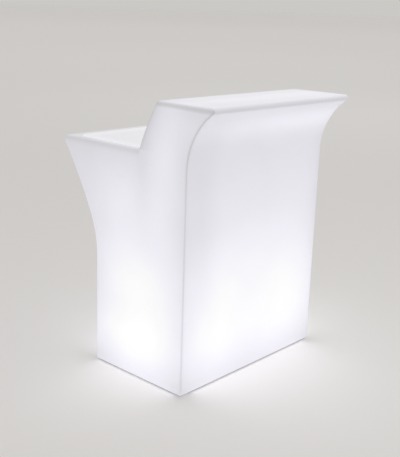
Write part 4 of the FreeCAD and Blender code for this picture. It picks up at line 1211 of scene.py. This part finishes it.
def edge_wear(tree, place, patch_mm):
    """How worn each place is: the marked edges, broken up into patches of this size."""
    marked = add(tree, "Attribute", out="Fac", attribute_name="worn")
    rubbed = ramp(tree, noise(tree, place, patch_mm, 2.0), 0.35, 0.6, 0.15)
    return calc(tree, "MULTIPLY", marked, rubbed)


def moulded(name, shades, roughness, grain_mm, relief_mm, ior):
    """A plastic or rubber skin with an even grain, slightly uneven pigment and polished edges."""
    material, tree, surface, place = new_material(name, IOR=ior)
    wear = edge_wear(tree, place, grain_mm * 8)
    pigment = blend(tree, noise(tree, place, grain_mm * 12, 2.0), shades[0], shades[1])
    grain = noise(tree, place, grain_mm, 3.0)
    rough = spread(tree, grain, roughness - 0.06, roughness + 0.06)
    wire(tree, surface, Base_Color=blend(tree, wear, pigment, shades[2]),
         Roughness=calc(tree, "MULTIPLY_ADD", wear, -POLISH, rough), Normal=relief(tree, grain, 0.5, relief_mm))
    return material


finishes = {slot: moulded(*row) for slot, *row in (
    ("seal_silicone", "silicone_extruded", ("#d4d4d2", "#dededc", "#c6c6c2"), 0.60, 0.8, 0.02, 1.41),
    ("plug_nylon", "nylon_moulded_black", ("#1a1a1b", "#222224", "#3a3a3c"), 0.50, 0.6, 0.03, 1.53),
    ("foot_rubber", "rubber_moulded_black", ("#161616", "#202020", "#3c3b39"), 0.78, 0.9, 0.05, 1.52),
    ("holder_plastic", "urea_moulded_white", ("#e4e2dc", "#ebe9e4", "#d2d0c9"), 0.38, 0.7, 0.01, 1.57),
    ("lamp_plastic", "polycarbonate_moulded_white", ("#ececea", "#f2f2f0", "#dcdcda"), 0.30, 0.8, 0.01, 1.58),
    ("box_grey", "abs_moulded_grey", ("#9b9ea0", "#a5a8aa", "#b6b9bb"), 0.52, 0.6, 0.03, 1.54),
    ("terminal_nylon", "nylon_moulded_natural", ("#d6d3c6", "#dfdcd1", "#c6c2b3"), 0.45, 0.5, 0.02, 1.53),
    ("lead_pvc", "pvc_extruded_white", ("#dcdcdb", "#e6e6e5", "#cacac8"), 0.42, 1.2, 0.01, 1.54),
    ("service_plate_grey", "abs_moulded_light_grey", ("#c6c7ca", "#cecfd2", "#b2b3b6"), 0.55, 0.8, 0.04, 1.54),
    ("inlet_black", "nylon_glass_filled_black", ("#141415", "#1c1c1e", "#3e3e40"), 0.48, 0.5, 0.03, 1.53),
    ("rocker_black", "polycarbonate_moulded_black", ("#0f0f10", "#151516", "#343436"), 0.28, 0.6, 0.01, 1.58),
)}
print(len(finishes), "plastics and rubbers")

# %% [markdown]
# ## Metals
# Every metal keeps the marks of how it was made: long lines on brushed sheet, rings on a turned bush,
# faint streaks on a cold-headed screw, and hardly any on plating. The same noise draws them all,
# stretched along the marks, so its three sizes in millimetres are what the table holds. A spanner or
# a driver brightens bare metal along its edges and rubs plating away, so each has its worn shade.

# %% Brushed, turned and plated finishes
WEAR_PATCH = 3.0


def metal(name, shades, roughness, marks_mm, relief_mm):
    """A metal with marks that are as long, wide and deep as the sizes along x, y and z."""
    material, tree, surface, place = new_material(name, Metallic=1.0)
    along = add(tree, "Mapping", {"Vector": place, "Scale": [per(size) for size in marks_mm]})
    marks = add(tree, "TexNoise", {"Vector": along, "Scale": 1.0, "Detail": 3.0})
    bare = blend(tree, marks, shades[0], shades[1])
    wire(tree, surface, Base_Color=blend(tree, edge_wear(tree, place, WEAR_PATCH), bare, shades[2]),
         Roughness=spread(tree, marks, roughness - 0.07, roughness + 0.07), Normal=relief(tree, marks, 0.4, relief_mm))
    return material


finishes |= {slot: metal(*row) for slot, *row in (
    ("plate_aluminium", "aluminium_sheet_brushed", ("#c2c4c6", "#cfd1d3", "#dcdee0"), 0.34, (60, 0.6, 0.6), 0.02),
    ("fixings_steel", "stainless_steel_cold_headed", ("#aeadab", "#bebdbb", "#d4d3d0"), 0.30, (0.6, 0.6, 4), 0.01),
    ("bushes_brass", "brass_turned", ("#b8934a", "#c9a558", "#dcbd75"), 0.28, (8, 8, 0.4), 0.02),
    ("foot_steel", "steel_zinc_plated", ("#a9adb2", "#b9bdc2", "#8b8c8d"), 0.36, (3, 3, 3), 0.01),
    ("cap_nickel", "brass_nickel_plated", ("#bdb9b0", "#cac6be", "#c4ac78"), 0.20, (6, 6, 0.6), 0.01),
)}
print(len(finishes), "finishes with the metals")

# %% [markdown]
# ## Foam, powder coat and opal glass
# Three finishes need a pattern of their own. Cut foam shows each closed cell as a pit, painted darker
# towards its middle as shade, a powder coat cures with a slight orange peel, and the lamp's blown
# globe has a white flashing that glows. The globe's light stays inside the shell, so the renderer is
# told not to aim at it.

# %% Foam
foam, tree, surface, place = new_material("foam_closed_cell", Roughness=0.9, IOR=1.45)
cell_pits_and_shade = add(tree, "TexVoronoi", {"Vector": place, "Scale": per(0.9)}, out="Distance")
# The colour is painted darker towards the middle of each cell, where its pit is deepest: painted shade.
wire(tree, surface, Base_Color=blend(tree, cell_pits_and_shade, "#0e0e0e", "#262626"), Normal=relief(tree, cell_pits_and_shade, 0.8, 0.2))
finishes["gasket_foam"] = foam

# %% Powder coat
coat, tree, surface, place = new_material("steel_powder_coated", IOR=1.5)
peel = noise(tree, place, 1.5, 1.0)
wire(tree, surface, Base_Color=blend(tree, peel, "#e6e6e3", "#eeeeec"),
     Roughness=spread(tree, peel, 0.36, 0.46), Normal=relief(tree, peel, 0.5, 0.05))
finishes["stand_white"] = coat

# %% Opal glass
opal, tree, surface, place = new_material("glass_opal_blown", IOR=1.5, Emission_Strength=1.0,
                                          Base_Color=linear("#f4f4f4"))
flashing = noise(tree, place, 25, 1.0)
wire(tree, surface, Emission_Color=blend(tree, flashing, "#f6f5f0", "#ffffff"),
     Roughness=ramp(tree, flashing, 0.0, 1.0, 0.08, 0.16))
opal.cycles.emission_sampling = "NONE"
finishes["globe_opal"] = opal
print(len(finishes), "small finishes in all")

# %% [markdown]
# ## Dress the model
# The solids that stay carry slot names on their material slots, and each new piece was told its slot
# when it was finished. Each slot is given the finish of that name.

# %% Hand out the finishes
finishes |= {"shell_polyethylene": moulded_wall, "worktop_acrylic": opal_sheet}
dressed = 0
for node in frame["nodes"]:
    for material_slot in bpy.data.objects[node].material_slots:
        material_slot.material = finishes[material_slot.material.name.split(".")[0]]
        dressed += 1
for piece, slot_name in awaiting_finish:
    piece.data.materials.append(finishes[slot_name])
print("dressed", dressed, "slots of solids and", len(awaiting_finish), "pieces")
